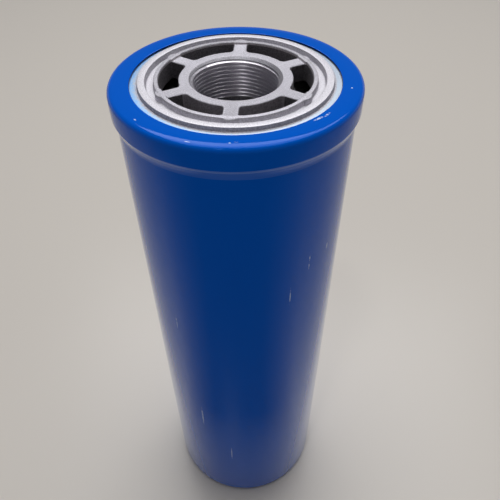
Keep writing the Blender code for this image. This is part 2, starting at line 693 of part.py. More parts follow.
def bypass_cage():
    """The pressed cage over the poppet, with a window in each side for the oil."""
    profile = [(STEM_RADIUS + STEM_CLEARANCE, CAGE_TOP)]
    profile += arc(CAGE_OUTER - CAGE_CORNER, CAGE_TOP - CAGE_CORNER, CAGE_CORNER, 90, 0, 2)
    profile += [(CAGE_OUTER, CAGE_FOOT_TOP), (VALVE_RADIUS, CAGE_FOOT_TOP)]
    cage = spun_shell("bypass_cage", profile, STEPS_SMALL, CAGE_WALL, zinc_steel)
    low = CAGE_FOOT_TOP + CAGE_WINDOW_MARGIN
    high = CAGE_TOP - CAGE_CORNER - CAGE_WINDOW_MARGIN
    half_width = min(CAGE_WINDOW_WIDTH / 2, 0.7 * CAGE_INNER)
    window = [(CAGE_INNER / 2, -half_width), (2 * CAGE_OUTER, -half_width),
              (2 * CAGE_OUTER, half_width), (CAGE_INNER / 2, half_width)]
    window_mesh = outline_mesh("cage_window", window, low, high, filled=True)
    shape_by(cage, add_cutter("cage_windows", copies_about_z(window_mesh, CAGE_WINDOW_COUNT)),
             "DIFFERENCE")
    return cage


def bypass_poppet():
    """The valve plate, its guide stem above and the boss that carries the seal below."""
    boss_low = SEAT_LIP_TOP - BYPASS_LIP_HEIGHT / 2
    profile = [
        (0.0, CAGE_TOP + STEM_REACH),
        (STEM_RADIUS, CAGE_TOP + STEM_REACH),
        (STEM_RADIUS, POPPET_TOP),
        (POPPET_RADIUS, POPPET_TOP),
        (POPPET_RADIUS, POPPET_LOW),
        (POPPET_BOSS_RADIUS, POPPET_LOW),
        (POPPET_BOSS_RADIUS, boss_low),
        (0.0, boss_low),
    ]
    return turned_solid("bypass_poppet", profile, STEPS_SMALL, zinc_steel)


def bypass_poppet_seal():
    profile = [
        (POPPET_BOSS_RADIUS + GAP, POPPET_LOW - GAP),
        (POPPET_RADIUS, POPPET_LOW - GAP),
        (POPPET_RADIUS, POPPET_SEAL_LOW),
        (POPPET_BOSS_RADIUS + GAP, POPPET_SEAL_LOW),
    ]
    return turned("bypass_poppet_seal", profile, STEPS_SMALL, black_rubber)


def bypass_spring():
    return coil("bypass_spring", BYPASS_SPRING_WIRE, POPPET_TOP + GAP, CAGE_CEILING - GAP,
                BYPASS_SPRING_TURNS, BYPASS_SPRING_RADIUS, BYPASS_SPRING_RADIUS,
                SMALL_TURN_POINTS, spring_steel)


def hang_on_slide(moving_parts):
    """Hang the poppet's pieces on an empty where the seat's lip meets the sliding axis."""
    slide = bpy.data.objects.new("bypass_slide", None)
    parts.objects.link(slide)
    slide.empty_display_size = POPPET_RADIUS
    slide.location = (0.0, 0.0, SEAT_LIP_TOP)
    for piece in moving_parts:
        piece.data.transform(Matrix.Translation((0.0, 0.0, -SEAT_LIP_TOP)))
        piece.parent = slide


clear_scene()
parts = new_collection("spin_on_filter")
cutters = new_collection("cutters")

blue_enamel = finish("blue_enamel", (0.005, 0.07, 0.45), 0.12)
cast_aluminium = finish("cast_aluminium", (0.62, 0.63, 0.65), 0.38, 1.0)
zinc_steel = finish("zinc_steel", (0.55, 0.56, 0.56), 0.3, 1.0)
spring_steel = finish("spring_steel", (0.25, 0.25, 0.26), 0.35, 1.0)
black_rubber = finish("black_rubber", (0.02, 0.02, 0.02), 0.6)
filter_media = finish("filter_media", (0.75, 0.72, 0.6), 0.9)
adhesive = finish("adhesive", (0.35, 0.24, 0.1), 0.5)
band_ribbon = finish("band_ribbon", (0.7, 0.7, 0.68), 0.7)

can()
head_plate()
head_seal_ring()
hub_grommet()
element_top_cap()
element_bottom_cap()
cap_bevel = CAP_CORNER_RADIUS - CAP_WALL
potting("top_potting", ELEMENT_CEILING - POTTING_DEPTH, ELEMENT_CEILING, 0.0, cap_bevel)
potting("bottom_potting", ELEMENT_FLOOR, ELEMENT_FLOOR + POTTING_DEPTH, cap_bevel, 0.0)
centre_tube()
pleated_media()
media_seam_clip()
pleat_bands()
element_spring()
spring_seat()
bypass_seat()
bypass_cage()
hang_on_slide([bypass_poppet(), bypass_poppet_seal()])
bypass_spring()
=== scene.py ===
# %% [markdown]
# # A spin-on hydraulic filter
#
# A spin-on filter is thrown away whole: a blue steel can, a die-cast plate with a thread in its
# hub, and a pleated element that nobody ever sees. This lesson starts from a plain model whose
# pieces are already in the right place, and makes the surfaces that the eye looks at: stoved
# enamel, cast and turned aluminium, and a real thread.
#
# The plain model could be painted as it is, but its round pieces have flat facets. So the pieces
# that show are turned again here, finely, in exactly the same place.

# %% Load the plain model
import math

import bmesh
import bpy
from mathutils import Matrix, Vector


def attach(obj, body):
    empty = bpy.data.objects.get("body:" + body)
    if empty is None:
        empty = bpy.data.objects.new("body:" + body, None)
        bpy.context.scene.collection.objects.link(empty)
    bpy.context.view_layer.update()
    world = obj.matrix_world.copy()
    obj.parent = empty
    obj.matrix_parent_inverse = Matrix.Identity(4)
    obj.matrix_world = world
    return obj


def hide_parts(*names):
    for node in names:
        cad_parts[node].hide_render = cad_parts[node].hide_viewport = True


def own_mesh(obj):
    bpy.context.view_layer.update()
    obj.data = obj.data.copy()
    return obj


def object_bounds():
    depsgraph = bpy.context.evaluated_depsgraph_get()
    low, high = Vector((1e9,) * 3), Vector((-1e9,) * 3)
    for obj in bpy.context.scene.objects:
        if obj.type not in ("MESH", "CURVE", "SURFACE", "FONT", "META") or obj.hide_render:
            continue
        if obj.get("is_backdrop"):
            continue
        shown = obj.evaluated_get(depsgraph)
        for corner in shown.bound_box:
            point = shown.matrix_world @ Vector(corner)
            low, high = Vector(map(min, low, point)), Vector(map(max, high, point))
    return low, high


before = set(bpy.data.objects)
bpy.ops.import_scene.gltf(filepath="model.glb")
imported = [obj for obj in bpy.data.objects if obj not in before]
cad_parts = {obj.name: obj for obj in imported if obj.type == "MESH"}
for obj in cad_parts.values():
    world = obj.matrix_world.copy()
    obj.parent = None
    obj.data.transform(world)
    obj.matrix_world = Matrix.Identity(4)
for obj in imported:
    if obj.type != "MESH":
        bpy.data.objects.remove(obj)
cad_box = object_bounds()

# %% [markdown]
# ## Units and a few helpers
#
# A draughtsman writes millimetres and Blender works in metres, so each size is written in
# millimetres and multiplied by `MM` once, where the mesh is made.
#
# A colour picked from a picture is an sRGB value, such as #024BC4. Shaders add up light, which
# only works on linear values, so one function turns one into the other. Materials and Geometry
# Nodes are both trees of nodes, so one small function can add a node to either of them. A hex
# code given to it is a colour, and a node given to it is linked by the first output it shows.

# %% Units, colours, nodes and objects
MM = 0.001
MATH, VECTOR_MATH, MAP_RANGE, MIX, NOISE, BUMP, JOIN_XYZ, SPLIT_XYZ = (
    "ShaderNode" + kind for kind in ("Math", "VectorMath", "MapRange", "Mix", "TexNoise", "Bump",
                                     "CombineXYZ", "SeparateXYZ"))


def linear(hex_code):
    """An sRGB hex colour as the linear RGBA colour that Blender's sockets take."""
    channels = []
    for start in (1, 3, 5):
        value = int(hex_code[start:start + 2], 16) / 255
        channels.append(value / 12.92 if value <= 0.04045 else ((value + 0.055) / 1.055) ** 2.4)
    return (*channels, 1.0)


def feed(node, inputs):
    """Set a node's inputs, by name or number, to values, or link them to sockets or nodes."""
    for socket, value in inputs.items():
        if isinstance(value, str):
            value = linear(value)
        if isinstance(value, bpy.types.Node):
            value = next(output for output in value.outputs if output.enabled)
        if isinstance(value, bpy.types.NodeSocket):
            node.id_data.links.new(value, node.inputs[socket])
        else:
            node.inputs[socket].default_value = value


def add_node(tree, kind, inputs=None, **settings):
    """Add a node to a tree, give it its settings, and feed its inputs."""
    node = tree.nodes.new(kind)
    for name, value in settings.items():
        setattr(node, name, value)
    feed(node, inputs or {})
    return node


def in_scene(name, data):
    """A new object with this data, linked into the scene."""
    thing = bpy.data.objects.new(name, data)
    bpy.context.scene.collection.objects.link(thing)
    return thing


print("#808080 is", round(linear("#808080")[0], 4), "in linear light")

# %% [markdown]
# ## The camera
#
# The filter was photographed with a phone held a little above it, about 45 degrees down. A
# camera could be pushed around by hand until things line up. Here its place was worked out
# from the sizes of the ellipses instead, so it is written as numbers: how far it stands back,
# how high it is, and how far it tilts, turns and leans.

# %% Set up the camera
FOCAL_PIXELS = 516.465
PICTURE_PIXELS = 500
FILM_WIDTH = 36
CAMERA_PLACE = (19.77, -237.16, 483.1)
CAMERA_TILT = 44.98
CAMERA_TURN = 3.3
CAMERA_LEAN = -0.54

camera_data = bpy.data.cameras.new("camera")
camera_data.sensor_width = FILM_WIDTH
camera_data.lens = FILM_WIDTH * FOCAL_PIXELS / PICTURE_PIXELS
camera_data.clip_start = 10 * MM
camera = in_scene("camera", camera_data)
camera.location = Vector(CAMERA_PLACE) * MM
camera.rotation_euler = (Matrix.Rotation(math.radians(CAMERA_TURN), 3, "Z")
                         @ Matrix.Rotation(math.radians(90 - CAMERA_TILT), 3, "X")
                         @ Matrix.Rotation(math.radians(CAMERA_LEAN), 3, "Z")).to_euler()
bpy.context.scene.camera = camera
bpy.context.scene.view_settings.view_transform = "Standard"
print("lens", round(camera_data.lens, 2), "mm")

# %% [markdown]
# ## Where a pattern lies
#
# A pattern has a real size, so every material here reads its place on the piece in millimetres:
# the Object coordinates times 1000. On a turned piece it is often the distance from the axis
# that counts, or the distance round the wall, as if the wall were rolled out flat.

# %% Measure places in a material
def in_mm(tree):
    """Where a point of the piece is, in mm."""
    metres = add_node(tree, "ShaderNodeTexCoord").outputs["Object"]
    return add_node(tree, VECTOR_MATH, {0: metres, 1: (1 / MM, 1 / MM, 1 / MM)},
                    operation="MULTIPLY")


def from_axis(tree, where):
    """How far a point is from the Z axis."""
    flat = add_node(tree, VECTOR_MATH, {0: where, 1: (1, 1, 0)}, operation="MULTIPLY")
    return add_node(tree, VECTOR_MATH, {0: flat}, operation="LENGTH")


def round_wall(tree, where, radius):
    """How far round a wall of this radius a point lies."""
    axes = add_node(tree, SPLIT_XYZ, {0: where}).outputs
    angle = add_node(tree, MATH, {0: axes["Y"], 1: axes["X"]}, operation="ARCTAN2")
    return add_node(tree, MATH, {0: angle, 1: radius}, operation="MULTIPLY")


def new_material(name):
    """A material, with its tree, its shader and the place of a point in mm."""
    material = bpy.data.materials.new(name)
    material.use_nodes = True
    tree = material.node_tree
    return material, tree, tree.nodes["Principled BSDF"], in_mm(tree)


print("a metre is", round(1 / MM), "mm")

# %% [markdown]
# ## Floor and light
#
# Glossy paint and bare metal show little of their own colour: they show the room. The room here
# is a pale floor, which the can's side mirrors, a large soft lamp overhead, a small one in front
# that draws the light line along the collar, and a sky that is pale at the horizon and grey
# above, as the far walls of a room are. A photograph of a room could be used as the sky, but a
# gradient by height is plain, soft and always the same.
#
# In front of the can the floor carries a painted dark reflection: only a mirrored ray, which
# Light Path can tell, finds it darker there, so that the side that faces the lens mirrors
# something dark and shows its own colour.

# %% Make the floor
FLOOR_SIZE = 12000
FLOOR_DROP = 0.15
DARK_REFLECTION_SIDE = (-0.05, -1, 0)
DARK_REFLECTION_HALF_ANGLE = 52
DARK_REFLECTION_SOFTNESS = 22
# Each edge of the painted dark reflection fades over a band, from nothing at the first radius to
# full at the second
DARK_REFLECTION_EDGES = [(62, 110), (1300, 900)]

# A polished tile is a warm pale grey that mirrors softly
floor_paint, tree, shader, where = new_material("polished_pale_tile")
away = from_axis(tree, where)
ahead = add_node(tree, VECTOR_MATH, {0: where, 1: DARK_REFLECTION_SIDE}, operation="DOT_PRODUCT")
ahead = add_node(tree, MATH, {0: ahead, 1: away}, operation="DIVIDE")
# The painted dark reflection: a wedge of floor in front of the can, darker to mirrored rays only
painted_dark_reflection = add_node(tree, MAP_RANGE, {
    "Value": ahead,
    "From Min": math.cos(math.radians(DARK_REFLECTION_HALF_ANGLE + DARK_REFLECTION_SOFTNESS)),
    "From Max": math.cos(math.radians(DARK_REFLECTION_HALF_ANGLE - DARK_REFLECTION_SOFTNESS))})
for start, end in DARK_REFLECTION_EDGES:
    edge = add_node(tree, MAP_RANGE, {"Value": away, "From Min": start, "From Max": end})
    painted_dark_reflection = add_node(tree, MATH, {0: painted_dark_reflection, 1: edge}, operation="MULTIPLY")
mirrored = add_node(tree, "ShaderNodeLightPath").outputs["Is Glossy Ray"]
painted_dark_reflection = add_node(tree, MATH, {0: painted_dark_reflection, 1: mirrored}, operation="MULTIPLY")
# Mirrored rays get the painted dark reflection's colour there, and all other rays get the pale
# tile
tile = add_node(tree, MIX, {0: painted_dark_reflection, 6: "#C9C3BB", 7: "#565450"}, data_type="RGBA")
feed(shader, {"Base Color": tile, "Roughness": 0.28, "Specular IOR Level": 0.3})

edge = FLOOR_SIZE / 2 * MM
floor_mesh = bpy.data.meshes.new("floor")
floor_mesh.from_pydata([(x, y, -FLOOR_DROP * MM) for x, y in
                        ((-edge, -edge), (edge, -edge), (edge, edge), (-edge, edge))],
                       [], [(0, 1, 2, 3)])
floor_mesh.materials.append(floor_paint)
floor = in_scene("floor", floor_mesh)
floor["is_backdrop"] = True
print("floor:", FLOOR_SIZE, "mm wide")

# %% Light the room
LAMPS = {
    # name: (size, height over the floor, tilt about X, turn about Z, watts)
    "ceiling_lamp": (2500, 2600, -20, -4, 75),
    "front_lamp": (150, 1900, 22, -20, 2.8),
}
# How high the pale horizon ends and the grey begins, as the sine of the angle above the floor
HORIZON, GREY_ABOVE = 0.02, 0.3

for name, (size, height, tilt, turn, watts) in LAMPS.items():
    lamp_data = bpy.data.lights.new(name, "AREA")
    lamp_data.size = size * MM
    lamp_data.energy = watts
    aim = (Matrix.Rotation(math.radians(turn), 4, "Z")
           @ Matrix.Rotation(math.radians(tilt), 4, "X"))
    reach = height * MM / math.cos(math.radians(tilt))
    in_scene(name, lamp_data).matrix_world = aim @ Matrix.Translation((0, 0, reach))

world = bpy.data.worlds.new("pale_room")
bpy.context.scene.world = world
world.use_nodes = True
tree = world.node_tree
direction = add_node(tree, "ShaderNodeTexCoord").outputs["Generated"]
up = add_node(tree, SPLIT_XYZ, {0: direction}).outputs["Z"]
upward = add_node(tree, MAP_RANGE, {"Value": up, "From Min": HORIZON, "From Max": GREY_ABOVE})
sky = add_node(tree, MIX, {0: upward, 6: "#E6E3DE", 7: "#5A5C62"}, data_type="RGBA")
feed(tree.nodes["Background"], {"Color": sky, "Strength": 0.75})
print("lamps:", ", ".join(LAMPS))

# %% [markdown]
# ## Turned shapes
#
# Nearly every piece of a filter is round, so it is drawn as half a section and spun about the
# axis. Pressed sheet and castings have no sharp corners. A Bevel modifier could round them, but
# on a spun piece it is simpler to round the corners of the section before it is spun: each
# corner of the line is written with its own radius.

# %% Round the corners of a section, spin it and place it
CORNER_STEPS = 4
SHARP_ANGLE = 32


def rounded(corners, closed=False):
    """Turn corners (r, z, radius) in mm into points, with an arc at each rounded corner."""
    points = []
    for i, (r, z, radius) in enumerate(corners):
        if radius == 0:
            points.append((r, z))
            continue
        here = Vector((r, z))
        back = (Vector(corners[i - 1][:2]) - here).normalized()
        ahead = (Vector(corners[(i + 1) % len(corners)][:2]) - here).normalized()
        half = back.angle(ahead) / 2
        centre = here + (back + ahead).normalized() * radius / math.sin(half)
        start = here + back * radius / math.tan(half) - centre
        sweep = math.pi - 2 * half
        if start.x * back.y - start.y * back.x > 0:
            sweep = -sweep
        for step in range(CORNER_STEPS + 1):
            angle = sweep * step / CORNER_STEPS
            points.append((centre.x + start.x * math.cos(angle) - start.y * math.sin(angle),
                           centre.y + start.x * math.sin(angle) + start.y * math.cos(angle)))
    return points


def as_mesh(work, name):
    """Turn the faces of a finished draft outwards and give it back as a mesh."""
    bmesh.ops.recalc_face_normals(work, faces=work.faces)
    mesh = bpy.data.meshes.new(name)
    work.to_mesh(mesh)
    work.free()
    return mesh


def turned(name, points, steps, closed=True):
    """Spin a section of (r, z) points in mm about Z, as a closed mesh."""
    work = bmesh.new()
    verts = [work.verts.new((r * MM, 0, z * MM)) for r, z in points]
    pairs = list(zip(verts, verts[1:]))
    if closed:
        pairs.append((verts[-1], verts[0]))
    edges = [work.edges.new(pair) for pair in pairs]
    bmesh.ops.spin(work, geom=verts + edges, axis=(0, 0, 1), cent=(0, 0, 0),
                   angle=math.tau, steps=steps, use_merge=True)
    bmesh.ops.remove_doubles(work, verts=work.verts, dist=0.001 * MM)
    return as_mesh(work, name)


def place(name, mesh, node, finish=None, body="filter"):
    """Show a finished mesh in place of a plain node, smooth but for its sharp edges."""
    mesh.name = name
    if finish:
        mesh.materials.clear()
        mesh.materials.append(finish)
    mesh.shade_smooth()
    mesh.set_sharp_from_angle(angle=math.radians(SHARP_ANGLE))
    piece = in_scene(name, mesh)
    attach(piece, body)
    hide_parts(node)
    print(name, "faces:", len(mesh.polygons))
    return piece


# %% [markdown]
# ## The can
#
# The can is one steel sheet, drawn deep like a beer can and 0.8 mm thick. Its open end is
# pushed out into a collar, the head plate is dropped in, and the edge is rolled in over it.
#
# A sheet has the same thickness everywhere. Solidify could give it that, but it would spoil
# the small round at the rolled edge. So the inner side of the section is worked out from the
# outer one, corner by corner, and the two are joined round the cut edge.

# %% Draw the can's section
COLLAR_RADIUS = 62.5
CAN_RADIUS = 60.5
CAN_HEIGHT = 365
SHEET = 0.8
SMALLEST_BEND = 0.2
LIP_INNER = 51.6
FINE_STEPS = 192
can_outside = [
    (LIP_INNER, CAN_HEIGHT, 0.5),
    (COLLAR_RADIUS, CAN_HEIGHT, 2.4),
    (COLLAR_RADIUS, 353.9, 1.8),
    (CAN_RADIUS, 349.2, 9),
    (CAN_RADIUS, 0, 4),
    (51.5, 0, 1),
    (49.5, 2.5, 1.5),
    (0, 3.7, 0),
]


def other_side(corners, sheet):
    """The line that lies one sheet's thickness inside a line of corners."""
    inside = []
    for i, (r, z, radius) in enumerate(corners):
        here = Vector((r, z))
        ahead = Vector(corners[min(i + 1, len(corners) - 1)][:2]) - here
        behind = here - Vector(corners[max(i - 1, 0)][:2])
        ahead = (ahead if ahead.length else behind).normalized()
        behind = (behind if behind.length else ahead).normalized()
        normal = Vector((ahead.y + behind.y, -ahead.x - behind.x))
        moved = here + normal * sheet / (1 + ahead.dot(behind))
        bend = behind.x * ahead.y - behind.y * ahead.x
        new_radius = radius + sheet if bend > 0 else max(radius - sheet, SMALLEST_BEND)
        inside.append((moved.x if r else 0, moved.y, new_radius if radius else 0))
    return inside


can_section = rounded(other_side(can_outside, SHEET)[::-1] + can_outside)
can_mesh = turned("drawn_can", can_section, FINE_STEPS, closed=False)
print("section points:", len(can_section))

# %% [markdown]
# ## Stoved enamel
#
# The can is sprayed with blue enamel and baked hard. Enamel is pigment in a clear binder: most
# of the light goes in, meets the pigment and comes out blue, and a little is mirrored by the
# smooth surface. That is a dark, saturated base colour at IOR 1.5 with a low roughness. A
# sprayed coat never dries quite flat, which is called orange peel: bumps a few millimetres wide
# and only microns high, so the mirrored room wobbles a little. On the sheet's cut edge, inside
# the lip, the blue is painted dark navy: a painted shade for that corner. A pale band along the
# crease under the collar is a painted highlight.
#
# The can was also carried and set down, so there are short upright scratches on its wall and
# scuffs on its lip, where the paint is worn pale. Each is a thin ellipse, broken up by noise. A
# Mapping node of the Texture kind moves, turns and shrinks the place of a point, so that each
# ellipse becomes a circle round nought. The marks could be painted by hand, but a short list of
# places and sizes is easier to change.

# %% List the marks on the can
SCRATCHES = [
    # degrees round the can, height, half width, half height, all in mm but the first
    (-34, 284.7, 0.5, 3.4),
    (-48, 286.0, 0.4, 2.6),
    (-48, 280.0, 0.4, 3.2),
    (-59, 262.3, 0.35, 8.0),
    (-126.7, 230.3, 0.4, 7.5),
    (-116.8, 123.0, 0.7, 15.0),
    (-146.7, 278.0, 0.4, 5.0),
    (-96.3, 74.0, 0.45, 12.0),
]
LIP_SCUFFS = [
    # x, y, half length, half width in mm, and which way the scuff runs in degrees
    (38.6, -37.4, 3.2, 0.7, 40),
    (42.5, -34.0, 2.6, 0.6, 55),
    (4.1, -57.0, 0.9, 0.5, 0),
    (1.5, -57.8, 0.6, 0.4, 0),
    (55.4, -9.4, 0.8, 0.5, 80),
    (-41.0, -41.5, 1.0, 0.4, -45),
    (-16.0, -57.6, 1.6, 0.35, -15),
]
# A painted highlight: pale bands along the crease under the collar, most of all along its upper
# edge
CREASE_PAINTED_HIGHLIGHT = [
    # height of the middle, half height, strength
    (353.0, 0.8, 0.12),
    (350.6, 2.6, 0.05),
]


def in_ellipses(tree, where, spots, marks=0.0):
    """Add ellipses (centre, half sizes, turn) to some marks: 1 inside, and 0 past the edge."""
    for centre, half_sizes, turn in spots:
        circle = add_node(tree, "ShaderNodeMapping",
                          {"Vector": where, "Location": centre, "Scale": half_sizes,
                           "Rotation": (0, 0, math.radians(turn))}, vector_type="TEXTURE")
        far = add_node(tree, VECTOR_MATH, {0: circle}, operation="LENGTH")
        inside = add_node(tree, MAP_RANGE, {"Value": far, "From Min": 1.0, "From Max": 0.4})
        marks = add_node(tree, MATH, {0: marks, 1: inside}, operation="MAXIMUM")
    return marks


print("marks:", len(SCRATCHES) + len(LIP_SCUFFS))

# %% Mix the enamel
FLAKES_A_MM = 0.9
# Where the blue fades to navy at the cut edge inside the lip: a painted shade
EDGE_SHADE_START, EDGE_SHADE_FULL = LIP_INNER + 0.28, LIP_INNER + 0.08
# Orange peel about 3 mm across and 1.5 microns high
PEEL_A_MM = 0.33
PEEL_HEIGHT = 0.0015

# Enamel shows the eye a deep blue under a clear, faintly wavy mirror
enamel, tree, shader, where = new_material("stoved_blue_enamel")
up = add_node(tree, SPLIT_XYZ, {0: where}).outputs["Z"]
unrolled = add_node(tree, JOIN_XYZ, {"X": round_wall(tree, where, CAN_RADIUS), "Y": up})
scuffs = in_ellipses(tree, unrolled, [
    ((math.radians(degrees) * CAN_RADIUS, height, 0), (half_width, half_height, 1), 0)
    for degrees, height, half_width, half_height in SCRATCHES])
scuffs = in_ellipses(tree, where, [
    ((x, y, CAN_HEIGHT), (half_length, half_width, 1), turn)
    for x, y, half_length, half_width, turn in LIP_SCUFFS], scuffs)
flakes = add_node(tree, NOISE, {"Vector": where, "Scale": FLAKES_A_MM, "Detail": 2})
broken = add_node(tree, MAP_RANGE, {"Value": flakes, "From Min": 0.38, "From Max": 0.54})
scuffs_and_crease_highlight = add_node(tree, MATH, {0: scuffs, 1: broken}, operation="MULTIPLY")
for middle, half, strength in CREASE_PAINTED_HIGHLIGHT:
    in_crease_highlight = add_node(tree, MATH, {0: up, 1: middle, 2: half}, operation="COMPARE")
    scuffs_and_crease_highlight = add_node(tree, MATH, {0: in_crease_highlight, 1: strength, 2: scuffs_and_crease_highlight}, operation="MULTIPLY_ADD")
painted_edge_shade = add_node(tree, MAP_RANGE, {"Value": from_axis(tree, where),
                                  "From Min": EDGE_SHADE_START, "From Max": EDGE_SHADE_FULL})
# The base is as near the axis as the lip's edge, so only the upper half counts
upper_half = add_node(tree, MATH, {0: up, 1: CAN_HEIGHT / 2}, operation="GREATER_THAN")
painted_edge_shade = add_node(tree, MATH, {0: painted_edge_shade, 1: upper_half}, operation="MULTIPLY")
# Near the lip's cut edge the blue is painted navy: painted shade
coat_and_edge_shade = add_node(tree, MIX, {0: painted_edge_shade, 6: "#0057C2", 7: "#001C52"}, data_type="RGBA")
# Scuffs are worn paint and turn pale; along the crease the same pale colour is a painted highlight
colour_with_painted_light = add_node(tree, MIX, {0: scuffs_and_crease_highlight, 6: coat_and_edge_shade, 7: "#CFE1F8"}, data_type="RGBA")
peel = add_node(tree, NOISE, {"Vector": where, "Scale": PEEL_A_MM, "Detail": 1})
bump = add_node(tree, BUMP, {"Height": peel, "Distance": PEEL_HEIGHT * MM})
feed(shader, {"Base Color": colour_with_painted_light, "Normal": bump, "Roughness": 0.04,
              "Specular IOR Level": 0.3, "Specular Tint": "#6399FF"})
can_mesh.materials.append(enamel)
print("enamel nodes:", len(tree.nodes))

# %% [markdown]
# ## Bare steel inside
#
# Only the outside is sprayed. The inside stays as it was drawn, a dull steel grey under a film
# of oil, and it looks nearly black through the slots because hardly any light gets in. One mesh
# can carry two materials, so each face is asked which side of the sheet it is on: an inner face
# looks towards the middle of the can.

# %% Finish the inside of the can
# Draw marks run up the wall: 0.5 mm across, 25 mm long
MARKS_A_MM = (2, 2, 0.04)
# An inner face looks towards this ring, or this stretch of the can's height
MIDDLE_RADIUS, MIDDLE_LOW, MIDDLE_TOP = 30, 60, 350
ROLLED_WIDTH, ROLLED_DEPTH = 0.7, 2

# Oiled steel shows the eye a dark, streaky grey
bare_steel, tree, shader, where = new_material("oiled_drawn_steel")
stretched = add_node(tree, VECTOR_MATH, {0: where, 1: MARKS_A_MM}, operation="MULTIPLY")
marks = add_node(tree, NOISE, {"Vector": stretched, "Scale": 1.0})
steel_tint = add_node(tree, MIX, {0: marks, 6: "#3C3B3C", 7: "#6A6968"}, data_type="RGBA")
feed(shader, {"Base Color": steel_tint, "Metallic": 1.0, "Roughness": 0.4})
can_mesh.materials.append(bare_steel)


def lie_of(face):
    """A face's distance from the axis and height in mm, and how much it looks outwards."""
    across = Vector(face.center[:2])
    outward = across.normalized().dot(Vector(face.normal[:2]))
    return across.length / MM, face.center.z / MM, outward


inner_faces = 0
for face in can_mesh.polygons:
    radius, height, outward = lie_of(face)
    nearest = min(max(height, MIDDLE_LOW), MIDDLE_TOP)
    to_middle = outward * (MIDDLE_RADIUS - radius) + face.normal.z * (nearest - height)
    rolled_edge = radius < LIP_INNER + ROLLED_WIDTH and height > CAN_HEIGHT - ROLLED_DEPTH
    if to_middle > 0 and not rolled_edge:
        face.material_index = 1
        inner_faces += 1
place("drawn_can", can_mesh, "can")
print("faces inside:", inner_faces)

# %% [markdown]
# ## The head plate
#
# The plate is one aluminium die casting. In the mould, its section is the same all the way
# round, apart from six slots for the oil and a small boss in the groove at each spoke, so it
# is made in the same order: first a turned blank, then what repeats.

# %% Turn the blank
THREAD_MINOR, THREAD_MAJOR = 21.08, 22.225
PITCH = 25.4 / 12
HUB_TOP, HUB_LOW, HUB_OUTER = 364.85, 339.0, 25.48
HUB_CHAMFER = 2.0
RELIEF_TOP, RELIEF_DEPTH = 343.5, 1.7
SLOT_INNER, SLOT_OUTER = 28.08, 37.8
RIM_TOP = 365.9
GROOVE_FLOOR, GROOVE_INNER = 363.0, 40.0
LAND_TOP, LAND_INNER, LAND_OUTER = 366.0, 44.0, 48.0
FLANGE_TOP, FLANGE_LOW, FLANGE_RADIUS = 363.9, 353.26, 61.4
SEAL_GROOVE_TOP, SEAL_GROOVE_LOW, SEAL_GROOVE_RADIUS = 360.45, 357.15, 58.4
UNDERSIDE = 356.0
blank_corners = [
    (THREAD_MINOR, HUB_TOP - HUB_CHAMFER, 0.1),
    (THREAD_MINOR + HUB_CHAMFER, HUB_TOP, 0.25),
    (SLOT_OUTER - 0.6, HUB_TOP, 0.15),
    (SLOT_OUTER - 0.4, RIM_TOP, 0.2),
    (GROOVE_INNER, RIM_TOP, 0.4),
    (GROOVE_INNER + 0.2, GROOVE_FLOOR, 0.5),
    (LAND_INNER - 0.1, GROOVE_FLOOR, 0.5),
    (LAND_INNER + 0.1, LAND_TOP, 0.35),
    (LAND_OUTER - 0.2, LAND_TOP, 0.3),
    (LAND_OUTER, FLANGE_TOP, 0.3),
    (FLANGE_RADIUS, FLANGE_TOP, 1.3),
    (FLANGE_RADIUS, SEAL_GROOVE_TOP, 0.15),
    (SEAL_GROOVE_RADIUS, SEAL_GROOVE_TOP, 0.2),
    (SEAL_GROOVE_RADIUS, SEAL_GROOVE_LOW, 0.2),
    (FLANGE_RADIUS, SEAL_GROOVE_LOW, 0.15),
    (FLANGE_RADIUS, 353.97, 2.5),
    (60.7, FLANGE_LOW, 0),
    (57.1, FLANGE_LOW, 0.5),
    (56.9, UNDERSIDE, 1.0),
    (HUB_OUTER, UNDERSIDE, 1.0),
    (HUB_OUTER, HUB_LOW, 0.4),
    (THREAD_MINOR + RELIEF_DEPTH, HUB_LOW, 0.2),
    (THREAD_MINOR + RELIEF_DEPTH, RELIEF_TOP - RELIEF_DEPTH, 0.3),
    (THREAD_MINOR, RELIEF_TOP, 0.1),
]
blank = turned("head_plate_blank", rounded(blank_corners, closed=True), FINE_STEPS)
print("blank faces:", len(blank.polygons))

# %% [markdown]
# ## What repeats round the axis
#
# Six slots and six bosses are the same shape, 60 degrees apart. They could be copied in a loop,
# but a Geometry Nodes tree does it once for every piece that needs it: it makes one point for
# each copy, puts the shape on every point, and turns each copy by its own number. It can also
# stack several rows, which the holes in the centre tube need.

# %% Build the tree that repeats a shape round Z
def new_geometry_tree(name, inputs):
    """A Geometry Nodes tree with named inputs. Returns the tree and what its inputs give."""
    tree = bpy.data.node_groups.new(name, "GeometryNodeTree")
    tree.interface.new_socket("Geometry", in_out="OUTPUT", socket_type="NodeSocketGeometry")
    tree.interface.new_socket("Geometry", in_out="INPUT", socket_type="NodeSocketGeometry")
    for label, kind in inputs.items():
        tree.interface.new_socket(label, in_out="INPUT", socket_type="NodeSocket" + kind)
    return tree, tree.nodes.new("NodeGroupInput").outputs


def end_tree(tree, shape, material):
    """Make instances real, give the shape its material and send it out of the tree."""
    real = add_node(tree, "GeometryNodeRealizeInstances", {0: shape})
    painted = add_node(tree, "GeometryNodeSetMaterial", {"Geometry": real, "Material": material})
    add_node(tree, "NodeGroupOutput", {0: painted})
    print(tree.name, "nodes:", len(tree.nodes))


